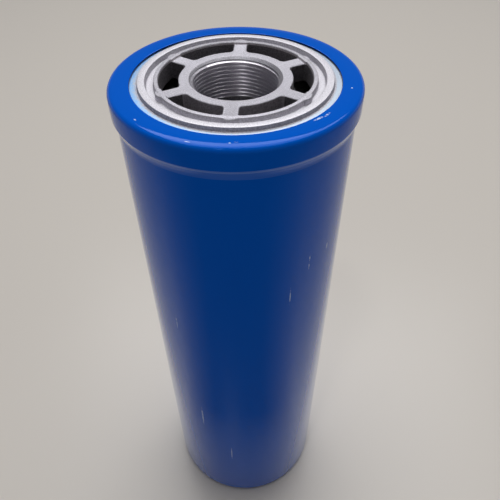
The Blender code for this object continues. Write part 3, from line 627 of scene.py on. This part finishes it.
round_z, given = new_geometry_tree("repeat_round_z", {
    "Count": "Int", "First Angle": "Float", "Rows": "Int", "Row Pitch": "Float",
    "Material": "Material"})
total = add_node(round_z, MATH, {0: given["Count"], 1: given["Rows"]}, operation="MULTIPLY")
number = add_node(round_z, "GeometryNodeInputIndex")
row = add_node(round_z, MATH, {0: number, 1: given["Count"]}, operation="DIVIDE")
row = add_node(round_z, MATH, {0: row}, operation="FLOOR")
height = add_node(round_z, MATH, {0: row, 1: given["Row Pitch"]}, operation="MULTIPLY")
spot = add_node(round_z, JOIN_XYZ, {"Z": height})
points = add_node(round_z, "GeometryNodePoints", {"Count": total, "Position": spot})
step = add_node(round_z, MATH, {0: math.tau, 1: given["Count"]}, operation="DIVIDE")
# Every other row is turned by half a step, so that its copies stand between the others
stagger = add_node(round_z, MATH, {0: row, 1: 2}, operation="MODULO")
place_in_row = add_node(round_z, MATH, {0: stagger, 1: 0.5, 2: number}, operation="MULTIPLY_ADD")
turn = add_node(round_z, MATH, {0: place_in_row, 1: step, 2: given["First Angle"]},
                operation="MULTIPLY_ADD")
about_z = add_node(round_z, "FunctionNodeAxisAngleToRotation", {"Axis": (0, 0, 1), "Angle": turn})
copies = add_node(round_z, "GeometryNodeInstanceOnPoints",
                  {"Points": points, "Instance": given["Geometry"], "Rotation": about_z})
end_tree(round_z, copies, given["Material"])

# %% Run modifiers and keep what they make
def plain_result(draft, tools=()):
    """The plain mesh that an object's modifiers make. The object and its tools are removed."""
    made = bpy.data.meshes.new_from_object(
        draft.evaluated_get(bpy.context.evaluated_depsgraph_get()))
    for thing in (draft, *tools):
        bpy.data.objects.remove(thing, do_unlink=True)
    return made


def grown(mesh, tree, values):
    """Run a mesh through a Geometry Nodes tree whose inputs get these values."""
    draft = in_scene("draft", mesh)
    modifier = draft.modifiers.new("nodes", "NODES")
    modifier.node_group = tree
    for socket in tree.interface.items_tree:
        if socket.in_out == "INPUT" and socket.name in values:
            modifier[socket.identifier] = values[socket.name]
    return plain_result(draft)


def shaped(mesh, steps):
    """Apply one exact Boolean after another to a mesh. Each step is (operation, tool mesh)."""
    draft = in_scene("draft", mesh)
    tools = [in_scene("tool", tool_mesh) for operation, tool_mesh in steps]
    for (operation, tool_mesh), tool in zip(steps, tools):
        modifier = draft.modifiers.new(operation, "BOOLEAN")
        modifier.operation = operation
        modifier.object = tool
    return plain_result(draft, tools)


print("trees so far:", len(bpy.data.node_groups))

# %% [markdown]
# ## One slot and one boss
#
# A slot is a kidney: two arcs about the filter's axis, and two straight flanks, because the
# spokes between the slots keep the same width all along. Its corners are round where the mould
# needs it. The cutter is a stack of such outlines. The top ones are a little larger, which
# leaves the small chamfer that the cutting tool makes round the edge.

# %% Make one slot cutter
SPOKES = 6
HALF_STEP = math.pi / SPOKES
SPOKE_WIDTH = 7.1
SLOT_LOW = 350
SLOT_CHAMFER = 0.3
INNER_CORNER, OUTER_CORNER = 2.5, 1.1


def arc(centre_x, centre_y, radius, start, sweep, steps):
    """Points of an arc, both ends included, from a start angle through a sweep in radians."""
    angles = [start + sweep * k / steps for k in range(steps + 1)]
    return [(centre_x + radius * math.cos(a), centre_y + radius * math.sin(a)) for a in angles]


def slot_outline(grow_in, grow_out):
    """Points (x, y) of a slot centred on +X, grown at its inner side, flanks and outer side."""
    inner, outer = SLOT_INNER - grow_in, SLOT_OUTER + grow_out
    flank = SPOKE_WIDTH / 2 - grow_in
    inner_corner, outer_corner = INNER_CORNER + grow_in, OUTER_CORNER + grow_out
    centres = []
    for corner, reach in ((outer_corner, outer - outer_corner),
                          (inner_corner, inner + inner_corner)):
        across = flank + corner
        centres.append((math.sqrt(reach ** 2 - across ** 2), across, corner))
    outer_angle, inner_angle = (math.atan2(y, x) for x, y, corner in centres)
    # The flank lies along +X while its two corners are drawn, and is then turned into place
    side = arc(*centres[0], outer_angle, -math.pi / 2 - outer_angle, 6)
    side += arc(*centres[1], -math.pi / 2, inner_angle - math.pi / 2, 8)
    upper = []
    for x, y in side:
        a, r = math.atan2(y, x) - HALF_STEP, math.hypot(x, y)
        upper.append((r * math.cos(a), r * math.sin(a)))
    # Both ends are written so that their middle point lies exactly on the X axis
    half_outer, half_inner = HALF_STEP - outer_angle, HALF_STEP - inner_angle
    outer_end = [(outer * math.cos(a), outer * math.sin(a))
                 for a in [half_outer * (1 - 2 * k / 24) for k in range(1, 24)]]
    inner_end = [(inner * math.cos(a), inner * math.sin(a))
                 for a in [-half_inner * (1 - 2 * k / 16) for k in range(1, 16)]]
    return outer_end + upper + inner_end + [(x, -y) for x, y in reversed(upper)]


def stacked(name, layers):
    """A closed solid through flat outlines: layers of (z, points), lowest first, in mm."""
    work = bmesh.new()
    rings = [[work.verts.new((x * MM, y * MM, z * MM)) for x, y in points]
             for z, points in layers]
    for low, high in zip(rings, rings[1:]):
        for i in range(len(low)):
            work.faces.new((low[i - 1], low[i], high[i], high[i - 1]))
    work.faces.new(rings[0])
    work.faces.new(rings[-1])
    return as_mesh(work, name)


plain, chamfered = slot_outline(0, 0), slot_outline(SLOT_CHAMFER, 0)
widest = slot_outline(SLOT_CHAMFER, SLOT_CHAMFER)
slot = stacked("slot_cutter", [
    (SLOT_LOW, plain), (HUB_TOP - SLOT_CHAMFER, plain), (HUB_TOP, chamfered),
    (RIM_TOP - SLOT_CHAMFER, chamfered), (RIM_TOP, widest), (LAND_TOP + 1, widest)])
print("outline points:", len(plain))

# %% Make one boss
BOSS_REACH = 1.4
BOSS_HALF = 3.5
BOSS_RADIUS = (BOSS_HALF ** 2 + BOSS_REACH ** 2) / (2 * BOSS_REACH)
BOSS_ROOT = 38.6


def boss_outline(shrink):
    """A shallow arc that bulges into the groove, with its straight side inside the rim."""
    centre = GROOVE_INNER + BOSS_REACH - BOSS_RADIUS
    half = math.asin(BOSS_HALF / BOSS_RADIUS)
    bulge = arc(centre, 0, BOSS_RADIUS - shrink, -half, 2 * half, 16)
    return bulge + [(BOSS_ROOT, BOSS_HALF), (BOSS_ROOT, -BOSS_HALF)]


boss = stacked("spoke_boss", [
    (GROOVE_FLOOR - 0.3, boss_outline(-0.15)),
    (RIM_TOP - 0.5, boss_outline(0)),
    (RIM_TOP - 0.1, boss_outline(0.3)),
])
print("boss radius:", round(BOSS_RADIUS, 2), "mm")

# %% [markdown]
# ## The thread
#
# The hub has a 1 3/4-12 UN thread: twelve turns to the inch, and 60 degrees between its flanks.
# A real one is cut by a tool with that shape, which moves up by one pitch a turn. The same is
# done here: a spiral curve carries a small trapezium, and what it sweeps is cut from the hub.
# Stacked rings would look much the same from afar, but a thread's turns run out into the
# chamfer at the top, and only a spiral shows that.

# %% Build the tree that sweeps the thread cutter
spiral_tree, given = new_geometry_tree("thread_cutter", {
    "Turns": "Float", "Pitch": "Float", "Radius": "Float", "Steps A Turn": "Int",
    "Inner": "Vector", "Outer": "Vector", "Material": "Material"})
rise = add_node(spiral_tree, MATH, {0: given["Turns"], 1: given["Pitch"]}, operation="MULTIPLY")
spiral = add_node(spiral_tree, "GeometryNodeCurveSpiral",
                  {"Resolution": given["Steps A Turn"], "Rotations": given["Turns"],
                   "Start Radius": given["Radius"], "End Radius": given["Radius"],
                   "Height": rise, "Reverse": True})
upright = add_node(spiral_tree, "GeometryNodeSetCurveNormal", {"Curve": spiral}, mode="Z_UP")
# The lower corners are the upper ones, flipped
inner_low, outer_low = (
    add_node(spiral_tree, VECTOR_MATH, {0: given[corner], 1: (1, -1, 1)}, operation="MULTIPLY")
    for corner in ("Inner", "Outer"))
tool = add_node(spiral_tree, "GeometryNodeCurvePrimitiveQuadrilateral",
                {"Point 1": inner_low, "Point 2": outer_low,
                 "Point 3": given["Outer"], "Point 4": given["Inner"]}, mode="POINTS")
swept = add_node(spiral_tree, "GeometryNodeCurveToMesh",
                 {"Curve": upright, "Profile Curve": tool, "Fill Caps": True})
end_tree(spiral_tree, swept, given["Material"])

# %% Cut the slots, raise the bosses and cut the thread
CUTTER_BASE = 20.7
FLANK = math.tan(math.radians(30))
THREAD_LOW = 341.5
THREAD_TURNS = 11.7
groove_half = 3 / 8 * PITCH
path_radius = (CUTTER_BASE + THREAD_MAJOR) / 2


def tool_corner(radius):
    """A corner of the cutting tool, across from the path it follows, in metres."""
    half = groove_half - (radius - THREAD_MINOR) * FLANK
    return ((radius - path_radius) * MM, half * MM, 0)


thread = grown(bpy.data.meshes.new("thread_cutter"), spiral_tree, {
    "Turns": THREAD_TURNS, "Pitch": PITCH * MM, "Radius": path_radius * MM,
    "Steps A Turn": FINE_STEPS, "Inner": tool_corner(CUTTER_BASE),
    "Outer": tool_corner(THREAD_MAJOR)})
thread.transform(Matrix.Translation((0, 0, THREAD_LOW * MM)))
slots = grown(slot, round_z, {"Count": SPOKES, "First Angle": 0.0, "Rows": 1})
bosses = grown(boss, round_z, {"Count": SPOKES, "First Angle": HALF_STEP, "Rows": 1})
plate_mesh = shaped(blank, [("UNION", bosses), ("DIFFERENCE", slots), ("DIFFERENCE", thread)])
thread_radii = [Vector(v.co[:2]).length / MM for v in thread.vertices]
print("thread cutter radius:", round(min(thread_radii), 2), "to", round(max(thread_radii), 2))

# %% [markdown]
# ## Cast and turned aluminium
#
# A die casting comes out of its steel mould dull grey, with a fine pebbled skin. Where it has
# to seal or to carry a thread it is then cut, and there it is bright and has fine rings about
# its axis. So the plate needs several finishes, and each face gets its own by where it lies.
# Metal has no colour but its reflection: metallic is 1, the base colour is how much it mirrors,
# and roughness spreads the mirrored room.

# %% Mix the aluminiums
def mottled(name, dark, light, roughness, grain, grain_height, rings=0, metallic=1.0):
    """A mottled surface with a grain of this size in mm, and with rings if it was turned."""
    material, tree, shader, where = new_material(name)
    height = add_node(tree, NOISE, {"Vector": where, "Scale": 1 / grain, "Detail": 3})
    tone = add_node(tree, MAP_RANGE, {"Value": height, "From Min": 0.35, "From Max": 0.65})
    tint = add_node(tree, MIX, {0: tone, 6: dark, 7: light}, data_type="RGBA")
    if rings:
        turns = add_node(tree, MATH, {0: from_axis(tree, where), 1: math.tau / rings},
                         operation="MULTIPLY")
        wave = add_node(tree, MATH, {0: turns}, operation="SINE")
        height = add_node(tree, MATH, {0: wave, 1: 0.5, 2: height}, operation="MULTIPLY_ADD")
    bump = add_node(tree, BUMP, {"Height": height, "Distance": grain_height * MM})
    feed(shader, {"Base Color": tint, "Normal": bump, "Metallic": metallic,
                  "Roughness": roughness})
    return material


# The mould's skin is pale and pebbled, and spreads the light evenly
die_cast = mottled("die_cast_aluminium", "#C4BDC4", "#E6E1E6", 0.6, 0.8, 0.02)
# In the slots the cast skin is a darker, duller copy: painted shade for the slots' depth
painted_slot_shade = mottled("cast_skin_painted_shade", "#767276", "#949095", 0.7, 0.8, 0.02)
# Turned faces catch the lamp a little more clearly, along rings 0.5 mm apart
turned_bright = mottled("turned_aluminium", "#9B99A0", "#C0BEC5", 0.56, 0.6, 0.005, 0.5)
# The gasket's groove and the sealing land are cut last and cleanest, and are also painted brighter
# than the turned faces: painted light that keeps the groove's walls out of shade
groove_cut_and_painted_light = mottled("grooved_aluminium_painted_light", "#B4B2B8", "#D5D3D9", 0.56, 0.6, 0.005, 0.5)
# The tap leaves fine scratches round the bore. They spread a highlight along the bore only,
# so the light above stands in it as one upright band
tapped = mottled("tapped_aluminium", "#E6E0EA", "#F8F5FA", 0.4, 0.5, 0.001)
upright = add_node(tapped.node_tree, JOIN_XYZ, {"Z": 1.0})
feed(tapped.node_tree.nodes["Principled BSDF"], {"Tangent": upright, "Anisotropic": 0.85})
print("aluminiums:", die_cast.name, painted_slot_shade.name, turned_bright.name, groove_cut_and_painted_light.name)

# %% [markdown]
# ## Overspray
#
# The can is sprayed after it is closed, with a mask over the plate. A mask never fits exactly,
# so a mist of blue lies on the outer edge of the plate, most of it on one side. A thinner, paler
# ring runs all the way round next to the lip: partly a mist of paint and partly a painted
# highlight along the lip's edge. It could be a painted map, but its edge is a circle that has
# slipped a little sideways, and a circle is one distance: so the distance from a centre says how
# much paint a point gets, and noise breaks its edge into droplets.

# %% Add the mist of paint and a painted highlight to a copy of the turned finish
MASK_SLIP = (1.9, 0.9, 0)
DROPLETS_A_MM = 1.4

overspray_and_highlight = turned_bright.copy()
overspray_and_highlight.name = "overspray_and_highlight_aluminium"
tree = overspray_and_highlight.node_tree
shader = tree.nodes["Principled BSDF"]
where = in_mm(tree)
slipped = add_node(tree, VECTOR_MATH, {0: where, 1: MASK_SLIP}, operation="SUBTRACT")
droplets = add_node(tree, NOISE, {"Vector": where, "Scale": DROPLETS_A_MM, "Detail": 2})
tint_with_mist_and_highlight = shader.inputs["Base Color"].links[0].from_socket
# Centre, how far the droplets reach, where the paint begins and is full, its share and colour
for centred, droplet_reach, start, full, most, colour in (
        # The pale ring all round next to the lip is partly mist and partly a painted highlight
        # along the lip's edge
        (where, 1.2, 49.2, 50.0, 0.85, "#B4C1CE"),
        (slipped, 6, 53.8, 56.2, 0.9, "#7FB4E8")):
    edge = add_node(tree, MATH, {0: droplets, 1: droplet_reach, 2: from_axis(tree, centred)},
                    operation="MULTIPLY_ADD")
    mist_and_highlight = add_node(tree, MAP_RANGE, {"Value": edge, "From Min": start, "From Max": full,
                                      "To Max": most})
    tint_with_mist_and_highlight = add_node(tree, MIX, {0: mist_and_highlight, 6: tint_with_mist_and_highlight, 7: colour}, data_type="RGBA")
feed(shader, {"Base Color": tint_with_mist_and_highlight})
print("overspray nodes:", len(tree.nodes))

# %% Give each face its finish
FINISHES = {"die_cast": die_cast, "turned": turned_bright, "tapped": tapped,
            "overspray_and_highlight": overspray_and_highlight, "painted_slot_shade": painted_slot_shade, "groove": groove_cut_and_painted_light}
NEAR = 0.1
LEVEL = 0.6
OUTWARD = 0.3


def finish_at(face):
    """Name the finish of a face of the plate by where it lies and which way it looks."""
    radius, height, outward = lie_of(face)
    level = abs(face.normal.z) > LEVEL
    thread_top = HUB_TOP - HUB_CHAMFER
    if radius < THREAD_MAJOR + NEAR and RELIEF_TOP - 2 < height < thread_top + NEAR:
        return "tapped"
    in_groove = (GROOVE_INNER - 0.5 < radius < LAND_INNER + 0.5
                 and GROOVE_FLOOR - NEAR < height < RIM_TOP - 0.2)
    on_land = LAND_INNER < radius < LAND_OUTER and height > LAND_TOP - 0.5
    # The groove and the land get the lighter copy of the turned finish, partly painted light
    if in_groove or on_land:
        return "groove"
    # The slots' inner walls get the darker copy of the cast skin: painted shade
    in_slot = (SLOT_INNER - NEAR < radius < SLOT_OUTER + SLOT_CHAMFER
               and height < HUB_TOP - SLOT_CHAMFER)
    if in_slot and outward < OUTWARD and not level:
        return "painted_slot_shade"
    above_flange = height > FLANGE_TOP - 0.05
    if radius > LAND_OUTER and above_flange:
        return "overspray_and_highlight"
    on_chamfer = radius < THREAD_MAJOR + 2 and height > thread_top
    return "turned" if on_chamfer or (level and above_flange) else "die_cast"


for material in FINISHES.values():
    plate_mesh.materials.append(material)
order = list(FINISHES)
counts = dict.fromkeys(order, 0)
for face in plate_mesh.polygons:
    finish = finish_at(face)
    face.material_index = order.index(finish)
    counts[finish] += 1
print("faces of each finish:", counts)
place("cast_head_plate", plate_mesh, "head_plate")

# %% [markdown]
# ## What the can hides
#
# Nobody sees the inside until a used filter is cut open, but it is what the filter is for. Oil
# comes in through the slots, goes through the pleats from outside, and leaves through the tube
# and the hub. These pieces get real finishes too: zinc-plated sheet, dark oiled spring wire,
# moulded rubber and set adhesive. They differ in tone, grain and gloss, which is what `mottled`
# takes. Only the medium and its ribbons are woven, and need a tree of their own.

# %% Mix the inner finishes
# Zinc plating is a pale grey with slow cloudy patches about 4 mm across
zinc = mottled("zinc_plated_sheet", "#8B8D8F", "#B7B8B4", 0.36, 4, 0.01)
# Spring wire is nearly black with oil, with a soft sheen
wire = mottled("oiled_spring_wire", "#38383B", "#5A5958", 0.32, 1.5, 0.01)
# Moulded rubber is deep black and matt, with a fine skin
rubber = mottled("moulded_nitrile_rubber", "#111112", "#202021", 0.55, 0.6, 0.01, metallic=0.0)
# Adhesive sets to a brown, glossy, slightly wavy surface
glue = mottled("set_adhesive", "#5C4020", "#8A683A", 0.28, 3, 0.08, metallic=0.0)


def woven(name, dark, light, thread_mm, join, wall_radius=0):
    """Threads that cross: up Z, and round the wall of a radius or else out from the axis."""
    material, tree, shader, where = new_material(name)
    up = add_node(tree, SPLIT_XYZ, {0: where}).outputs["Z"]
    across = round_wall(tree, where, wall_radius) if wall_radius else from_axis(tree, where)
    waves = {}
    for number, along in enumerate((up, across)):
        turns = add_node(tree, MATH, {0: along, 1: math.tau / thread_mm}, operation="MULTIPLY")
        waves[number] = add_node(tree, MATH, {0: turns}, operation="SINE")
    crossed = add_node(tree, MATH, waves, operation=join)
    share = add_node(tree, MAP_RANGE, {"Value": crossed, "From Min": -0.6, "From Max": 0.8})
    tint = add_node(tree, MIX, {0: share, 6: dark, 7: light}, data_type="RGBA")
    bump = add_node(tree, BUMP, {"Height": share, "Distance": 0.1 * MM})
    feed(shader, {"Base Color": tint, "Normal": bump, "Roughness": 0.75})
    return material


# Cream glass fibre behind a coarse wire mesh: the wires stand proud along both directions
media = woven("meshed_glass_fibre", "#C9BF9F", "#8F8C80", 1.6, "MAXIMUM")
# A plain weave: each thread goes over one and under the next
ribbon = woven("plain_woven_ribbon", "#A9A9A4", "#D8D8D3", 0.9, "MULTIPLY", wall_radius=54.2)
print("inner finishes:", ", ".join(m.name for m in (zinc, wire, rubber, glue, media, ribbon)))

# %% [markdown]
# ## Pressed and moulded rings
#
# Caps, seats, seals and the two beds of adhesive are all rings. A pressed one is drawn as one
# side of the sheet, and `other_side` gives the other. A moulded one is drawn all the way round.
# Each corner gets the small radius that its press tool or mould leaves.

# %% Turn the rings
RING_STEPS = 128


def pressed(name, corners, sheet, steps=RING_STEPS):
    """A ring pressed from sheet, drawn by its outer side."""
    return turned(name, rounded(other_side(corners, sheet)[::-1] + corners), steps)


def ring(name, corners, radius, steps=RING_STEPS):
    """A solid ring. The radius is for each corner (r, z) that states none of its own."""
    return turned(name, rounded([(*corner, radius)[:3] for corner in corners]), steps)


def circle(middle_r, middle_z, radius):
    """Twenty points round a circle."""
    return arc(middle_r, middle_z, radius, 0, math.tau, 20)[:-1]


TUBE_INNER, TUBE_OUTER = 30.68, 31.48
ELEMENT_LOW, ELEMENT_TOP = 30.3, 342.4
GLUE_INNER, GLUE_OUTER = 31.78, 53.4
for piece_name, mesh, finish, node, slot_name in (
        ("pressed_top_cap",
         pressed("top_cap", [(30.08, 352.8, 0.2), (30.08, 343.5, 0.6), (54.5, 343.5, 2),
                             (54.5, 335.5, 0.2)], SHEET),
         zinc, "element_top_cap", "zinc_steel"),
        ("pressed_bottom_cap",
         pressed("bottom_cap", [(54.5, 37.2, 0.2), (54.5, 29.2, 2), (14.3, 29.2, 0.2)], SHEET),
         zinc, "element_bottom_cap", "zinc_steel"),
        ("pressed_spring_seat",
         ring("spring_seat", [(22.78, 28.9), (31.48, 28.9), (31.48, 27.9), (23.78, 27.9),
                              (23.78, 24.0), (22.78, 24.0)], 0.25),
         zinc, "spring_seat", "zinc_steel"),
        ("moulded_grommet",
         ring("grommet", [(25.78, 355.7), (30.38, 355.7), (30.38, 353.1), (28.98, 353.1),
                          (28.98, 345.3), (25.78, 345.3)], 0.4),
         rubber, "hub_grommet", "black_rubber"),
        ("moulded_seal_ring", turned("seal", circle(60.05, 358.8, 1.35), RING_STEPS),
         rubber, "head_seal_ring", "black_rubber"),
        ("poured_top_adhesive",
         ring("top_glue", [(GLUE_INNER, 342.4, 0.2), (GLUE_OUTER, 342.4, 1.4),
                           (GLUE_OUTER, 338.9), (GLUE_INNER, 338.9)], 0.3),
         glue, "top_potting", "adhesive"),
        ("poured_bottom_adhesive",
         ring("bottom_glue", [(GLUE_INNER, 33.8), (GLUE_OUTER, 33.8),
                              (GLUE_OUTER, 30.3, 1.4), (GLUE_INNER, 30.3, 0.2)], 0.3),
         glue, "bottom_potting", "adhesive")):
    place(piece_name, mesh, node, finish)

# %% [markdown]
# ## The perforated tube
#
# The centre tube is rolled from punched sheet, and keeps the pleats from being pressed in by the
# oil. Its holes are punched in staggered rows. One cutter is drawn for the first hole, and the
# tree that repeats round Z makes all five rows of eight from it.

# %% Punch the tube
HOLE_RADIUS = 2.2
HOLES_A_ROW, HOLE_ROWS = 8, 5
HOLE_ROW_PITCH = 60.9
FIRST_ROW = 34.1 + HOLE_ROW_PITCH / 2
FIRST_HOLE_ANGLE = math.pi / 32
PUNCH_START, PUNCH_END = 28, 34


def laid_along_x(name, outline, start, end):
    """A cutter along X between two distances, from an outline of (z, y) points in mm."""
    cutter = stacked(name, [(start, [(-z, y) for z, y in outline]),
                            (end, [(-z, y) for z, y in outline])])
    cutter.transform(Matrix.Rotation(math.radians(90), 4, "Y"))
    return cutter


punch = laid_along_x("hole_punch", circle(FIRST_ROW, 0, HOLE_RADIUS), PUNCH_START, PUNCH_END)
holes = grown(punch, round_z, {"Count": HOLES_A_ROW, "First Angle": FIRST_HOLE_ANGLE,
                               "Rows": HOLE_ROWS, "Row Pitch": HOLE_ROW_PITCH * MM})
plain_tube = turned("plain_tube", [(TUBE_INNER, ELEMENT_TOP), (TUBE_OUTER, ELEMENT_TOP),
                                   (TUBE_OUTER, ELEMENT_LOW), (TUBE_INNER, ELEMENT_LOW)],
                    RING_STEPS)
tube = shaped(plain_tube, [("DIFFERENCE", holes)])
place("perforated_tube", tube, "centre_tube", zinc)

# %% [markdown]
# ## The pleats
#
# The medium is folded like a fan and bent into a ring, forty pleats deep, so that a long sheet
# fits in a small can. Its middle line goes out and in again forty times, with a round fold at
# each end. The sheet's two sides lie half its thickness from that line.

# %% Fold the pleats
PLEATS = 40
PLEAT_LOW, PLEAT_TOP = 34.1, 338.6
MEDIA_SHEET = 0.9
OUTER_FOLD, OUTER_WIDTH, OUTER_ROUND = 52.65, 2.2, 1.0
INNER_FOLD, INNER_WIDTH, INNER_ROUND = 32.23, 1.6, 0.7
SEAM_DROP = 0.7

fold_corners = []
for i in range(PLEATS):
    outer = OUTER_FOLD - (SEAM_DROP if i == 0 else 0)
    for reach, width, corner, turn in ((outer, OUTER_WIDTH, OUTER_ROUND, 0),
                                       (INNER_FOLD, INNER_WIDTH, INNER_ROUND, 0.5)):
        centre = math.tau / PLEATS * (i + turn)
        for across in (-width / 2, width / 2):
            fold_corners.append((reach * math.cos(centre) - across * math.sin(centre),
                                 reach * math.sin(centre) + across * math.cos(centre), corner))
middle_line = [Vector(point) for point in rounded(fold_corners)]


def beside(line, distance):
    """A closed line moved sideways by a distance, to its right."""
    moved = []
    for i, here in enumerate(line):
        behind = (here - line[i - 1]).normalized()
        ahead = (line[(i + 1) % len(line)] - here).normalized()
        normal = Vector((ahead.y + behind.y, -ahead.x - behind.x))
        moved.append(here + normal * distance / (1 + ahead.dot(behind)))
    return moved


work = bmesh.new()
low_out, low_in, top_out, top_in = (
    [work.verts.new((x * MM, y * MM, height * MM)) for x, y in beside(middle_line, distance)]
    for height in (PLEAT_LOW, PLEAT_TOP) for distance in (MEDIA_SHEET / 2, -MEDIA_SHEET / 2))
for a, b in ((low_out, top_out), (top_out, top_in), (top_in, low_in), (low_in, low_out)):
    for i in range(len(a)):
        work.faces.new((a[i - 1], a[i], b[i], b[i - 1]))
place("folded_media", as_mesh(work, "pleats"), "pleated_media", media)
print("media's middle line:", len(middle_line), "points")

# %% Finish the ribbons and the seam clip
# These keep the shape of the plain model, which bends them over the folds as they really lie
for node, finish in (("pleat_band_1", ribbon), ("pleat_band_2", ribbon),
                     ("pleat_band_3", ribbon), ("media_seam_clip", zinc)):
    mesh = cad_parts[node].data
    if not mesh.materials:
        mesh.materials.append(finish)
    for index in range(len(mesh.materials)):
        mesh.materials[index] = finish
    print(node, "is", finish.name)

# %% [markdown]
# ## The coil springs
#
# A conical spring in the base pushes the element up against the plate, and a small one keeps the
# bypass valve shut. Both are wound from round wire. The end turns are wound nearly flat, so that
# the spring stands steady. A Screw modifier makes only an even coil, so this tree bends a line
# of points by a rule: how high and how far out the wire is, by how many turns it has made.

# %% Build the tree that winds a spring
coil, given = new_geometry_tree("wound_spring", {
    "Turns": "Float", "Points A Turn": "Int", "Wire": "Float", "Low": "Float", "Top": "Float",
    "Low Radius": "Float", "Top Radius": "Float", "Flat Turns": "Float", "Flat Rise": "Float",
    "Material": "Material"})
line = add_node(coil, "GeometryNodeCurvePrimitiveLine")
count = add_node(coil, MATH, {0: given["Turns"], 1: given["Points A Turn"], 2: 1.0},
                 operation="MULTIPLY_ADD")
fine = add_node(coil, "GeometryNodeResampleCurve", {"Curve": line, "Count": count})
factor = add_node(coil, "GeometryNodeSplineParameter").outputs["Factor"]
turned_by = add_node(coil, MATH, {0: factor, 1: given["Turns"]}, operation="MULTIPLY")
last_flat = add_node(coil, MATH, {0: given["Turns"], 1: given["Flat Turns"]}, operation="SUBTRACT")
steep_rise = add_node(coil, MATH, {0: given["Flat Rise"], 1: -2.0, 2: 1.0},
                      operation="MULTIPLY_ADD")
# The share of the height that the wire has climbed, over a flat, a steep and a flat stretch
share = 0.0
for start, end, rise in ((0.0, given["Flat Turns"], given["Flat Rise"]),
                         (given["Flat Turns"], last_flat, steep_rise),
                         (last_flat, given["Turns"], given["Flat Rise"])):
    climbed = add_node(coil, MAP_RANGE, {"Value": turned_by, "From Min": start, "From Max": end,
                                         "To Min": 0.0, "To Max": rise})
    share = add_node(coil, MATH, {0: share, 1: climbed}, operation="ADD")
reach = add_node(coil, MAP_RANGE, {"Value": share, "To Min": given["Low Radius"],
                                   "To Max": given["Top Radius"]})
half_wire = add_node(coil, MATH, {0: given["Wire"], 1: 0.5}, operation="MULTIPLY")
lowest = add_node(coil, MATH, {0: given["Low"], 1: half_wire}, operation="ADD")
highest = add_node(coil, MATH, {0: given["Top"], 1: half_wire}, operation="SUBTRACT")
height = add_node(coil, MAP_RANGE, {"Value": share, "To Min": lowest, "To Max": highest})
angle = add_node(coil, MATH, {0: turned_by, 1: math.tau}, operation="MULTIPLY")
spot = {2: height}
for number, operation in enumerate(("COSINE", "SINE")):
    wave = add_node(coil, MATH, {0: angle}, operation=operation)
    spot[number] = add_node(coil, MATH, {0: reach, 1: wave}, operation="MULTIPLY")
wound = add_node(coil, "GeometryNodeSetPosition",
                 {"Geometry": fine, "Position": add_node(coil, JOIN_XYZ, spot)})
section = add_node(coil, "GeometryNodeCurvePrimitiveCircle",
                   {"Resolution": 14, "Radius": half_wire})
drawn = add_node(coil, "GeometryNodeCurveToMesh",
                 {"Curve": wound, "Profile Curve": section, "Fill Caps": True})
end_tree(coil, drawn, given["Material"])

# %% Wind the springs
FLAT_TURNS, FLAT_RISE = 0.6, 0.08
SPRING_CEILING = 53.7


def spring(name, wire_mm, low, top, low_radius, top_radius, turns):
    """A spring of round wire between two heights, all in mm but the turns."""
    return grown(bpy.data.meshes.new(name), coil, {
        "Turns": turns, "Points A Turn": 64, "Wire": wire_mm * MM, "Low": low * MM,
        "Top": top * MM, "Low Radius": low_radius * MM, "Top Radius": top_radius * MM,
        "Flat Turns": FLAT_TURNS, "Flat Rise": FLAT_RISE, "Material": wire})


place("wound_element_spring", spring("element_coil", 3.2, 1.1, 27.6, 54.6, 25.68, 3.5),
      "element_spring")
bypass_coil = place("wound_bypass_spring",
                    spring("bypass_coil", 1.4, 37.7, SPRING_CEILING, 9, 9, 5.0),
                    "bypass_spring")
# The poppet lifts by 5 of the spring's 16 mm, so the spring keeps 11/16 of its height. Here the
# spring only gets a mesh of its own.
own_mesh(bypass_coil)

# %% [markdown]
# ## The bypass valve
#
# When the medium is clogged or the oil is cold, the pressure lifts a poppet off its seat and the
# oil goes round the element instead. The cage holds the spring, and its four windows let the oil
# through. The poppet and its rubber washer ride on their own body, so they move in every pose.

# %% Make the valve
VALVE_STEPS = 96
valve_seat = ring("valve_seat", [(9, 33.3), (10.5, 33.3), (10.5, 32.3), (20, 32.3), (20, 30.3),
                                 (14, 30.3), (14, 28.2), (9, 28.2)], 0.2, VALVE_STEPS)
cage_blank = pressed("cage_blank", [(3.4, 54.8, 0.2), (15.3, 54.8, 1.5), (15.3, 33.4, 0.5),
                                    (20, 33.4, 0.2)], SHEET, VALVE_STEPS)
window_outline = rounded([(36.9, -6, 1.5), (49.8, -6, 1.5), (49.8, 6, 1.5), (36.9, 6, 1.5)])
windows = grown(laid_along_x("window_punch", window_outline, 7.2, 30), round_z,
                {"Count": 4, "First Angle": 0.0, "Rows": 1})
cage = shaped(cage_blank, [("DIFFERENCE", windows)])
poppet = turned("poppet", rounded([(0, 59.8, 0), (3, 59.8, 0.5), (3, 37.4, 0.4),
                                   (13, 37.4, 0.3), (13, 35.4, 0.3), (6.5, 35.4, 0.3),
                                   (6.5, 32.8, 0.4), (0, 32.8, 0)]), VALVE_STEPS, closed=False)
washer = ring("washer", [(6.8, 35.1), (13, 35.1), (13, 33.6), (6.8, 33.6)], 0.2, VALVE_STEPS)
place("staked_valve_seat", valve_seat, "bypass_seat", zinc)
place("pressed_valve_cage", cage, "bypass_cage", zinc)
place("valve_poppet", poppet, "bypass_poppet", zinc, body="poppet")
place("valve_washer", washer, "bypass_poppet_seal", rubber, body="poppet")

# %% [markdown]
# ## Measure and finish
#
# The box of the plain model and the box of the finished one are put side by side, and the
# finished one is printed in mm.

# %% Put the sizes side by side and print the finished box
size = {"cad": [list(corner) for corner in cad_box],
        "visual": [list(corner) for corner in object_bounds()]}
print("box in mm:", [[round(c / MM, 2) for c in corner] for corner in size["visual"]])
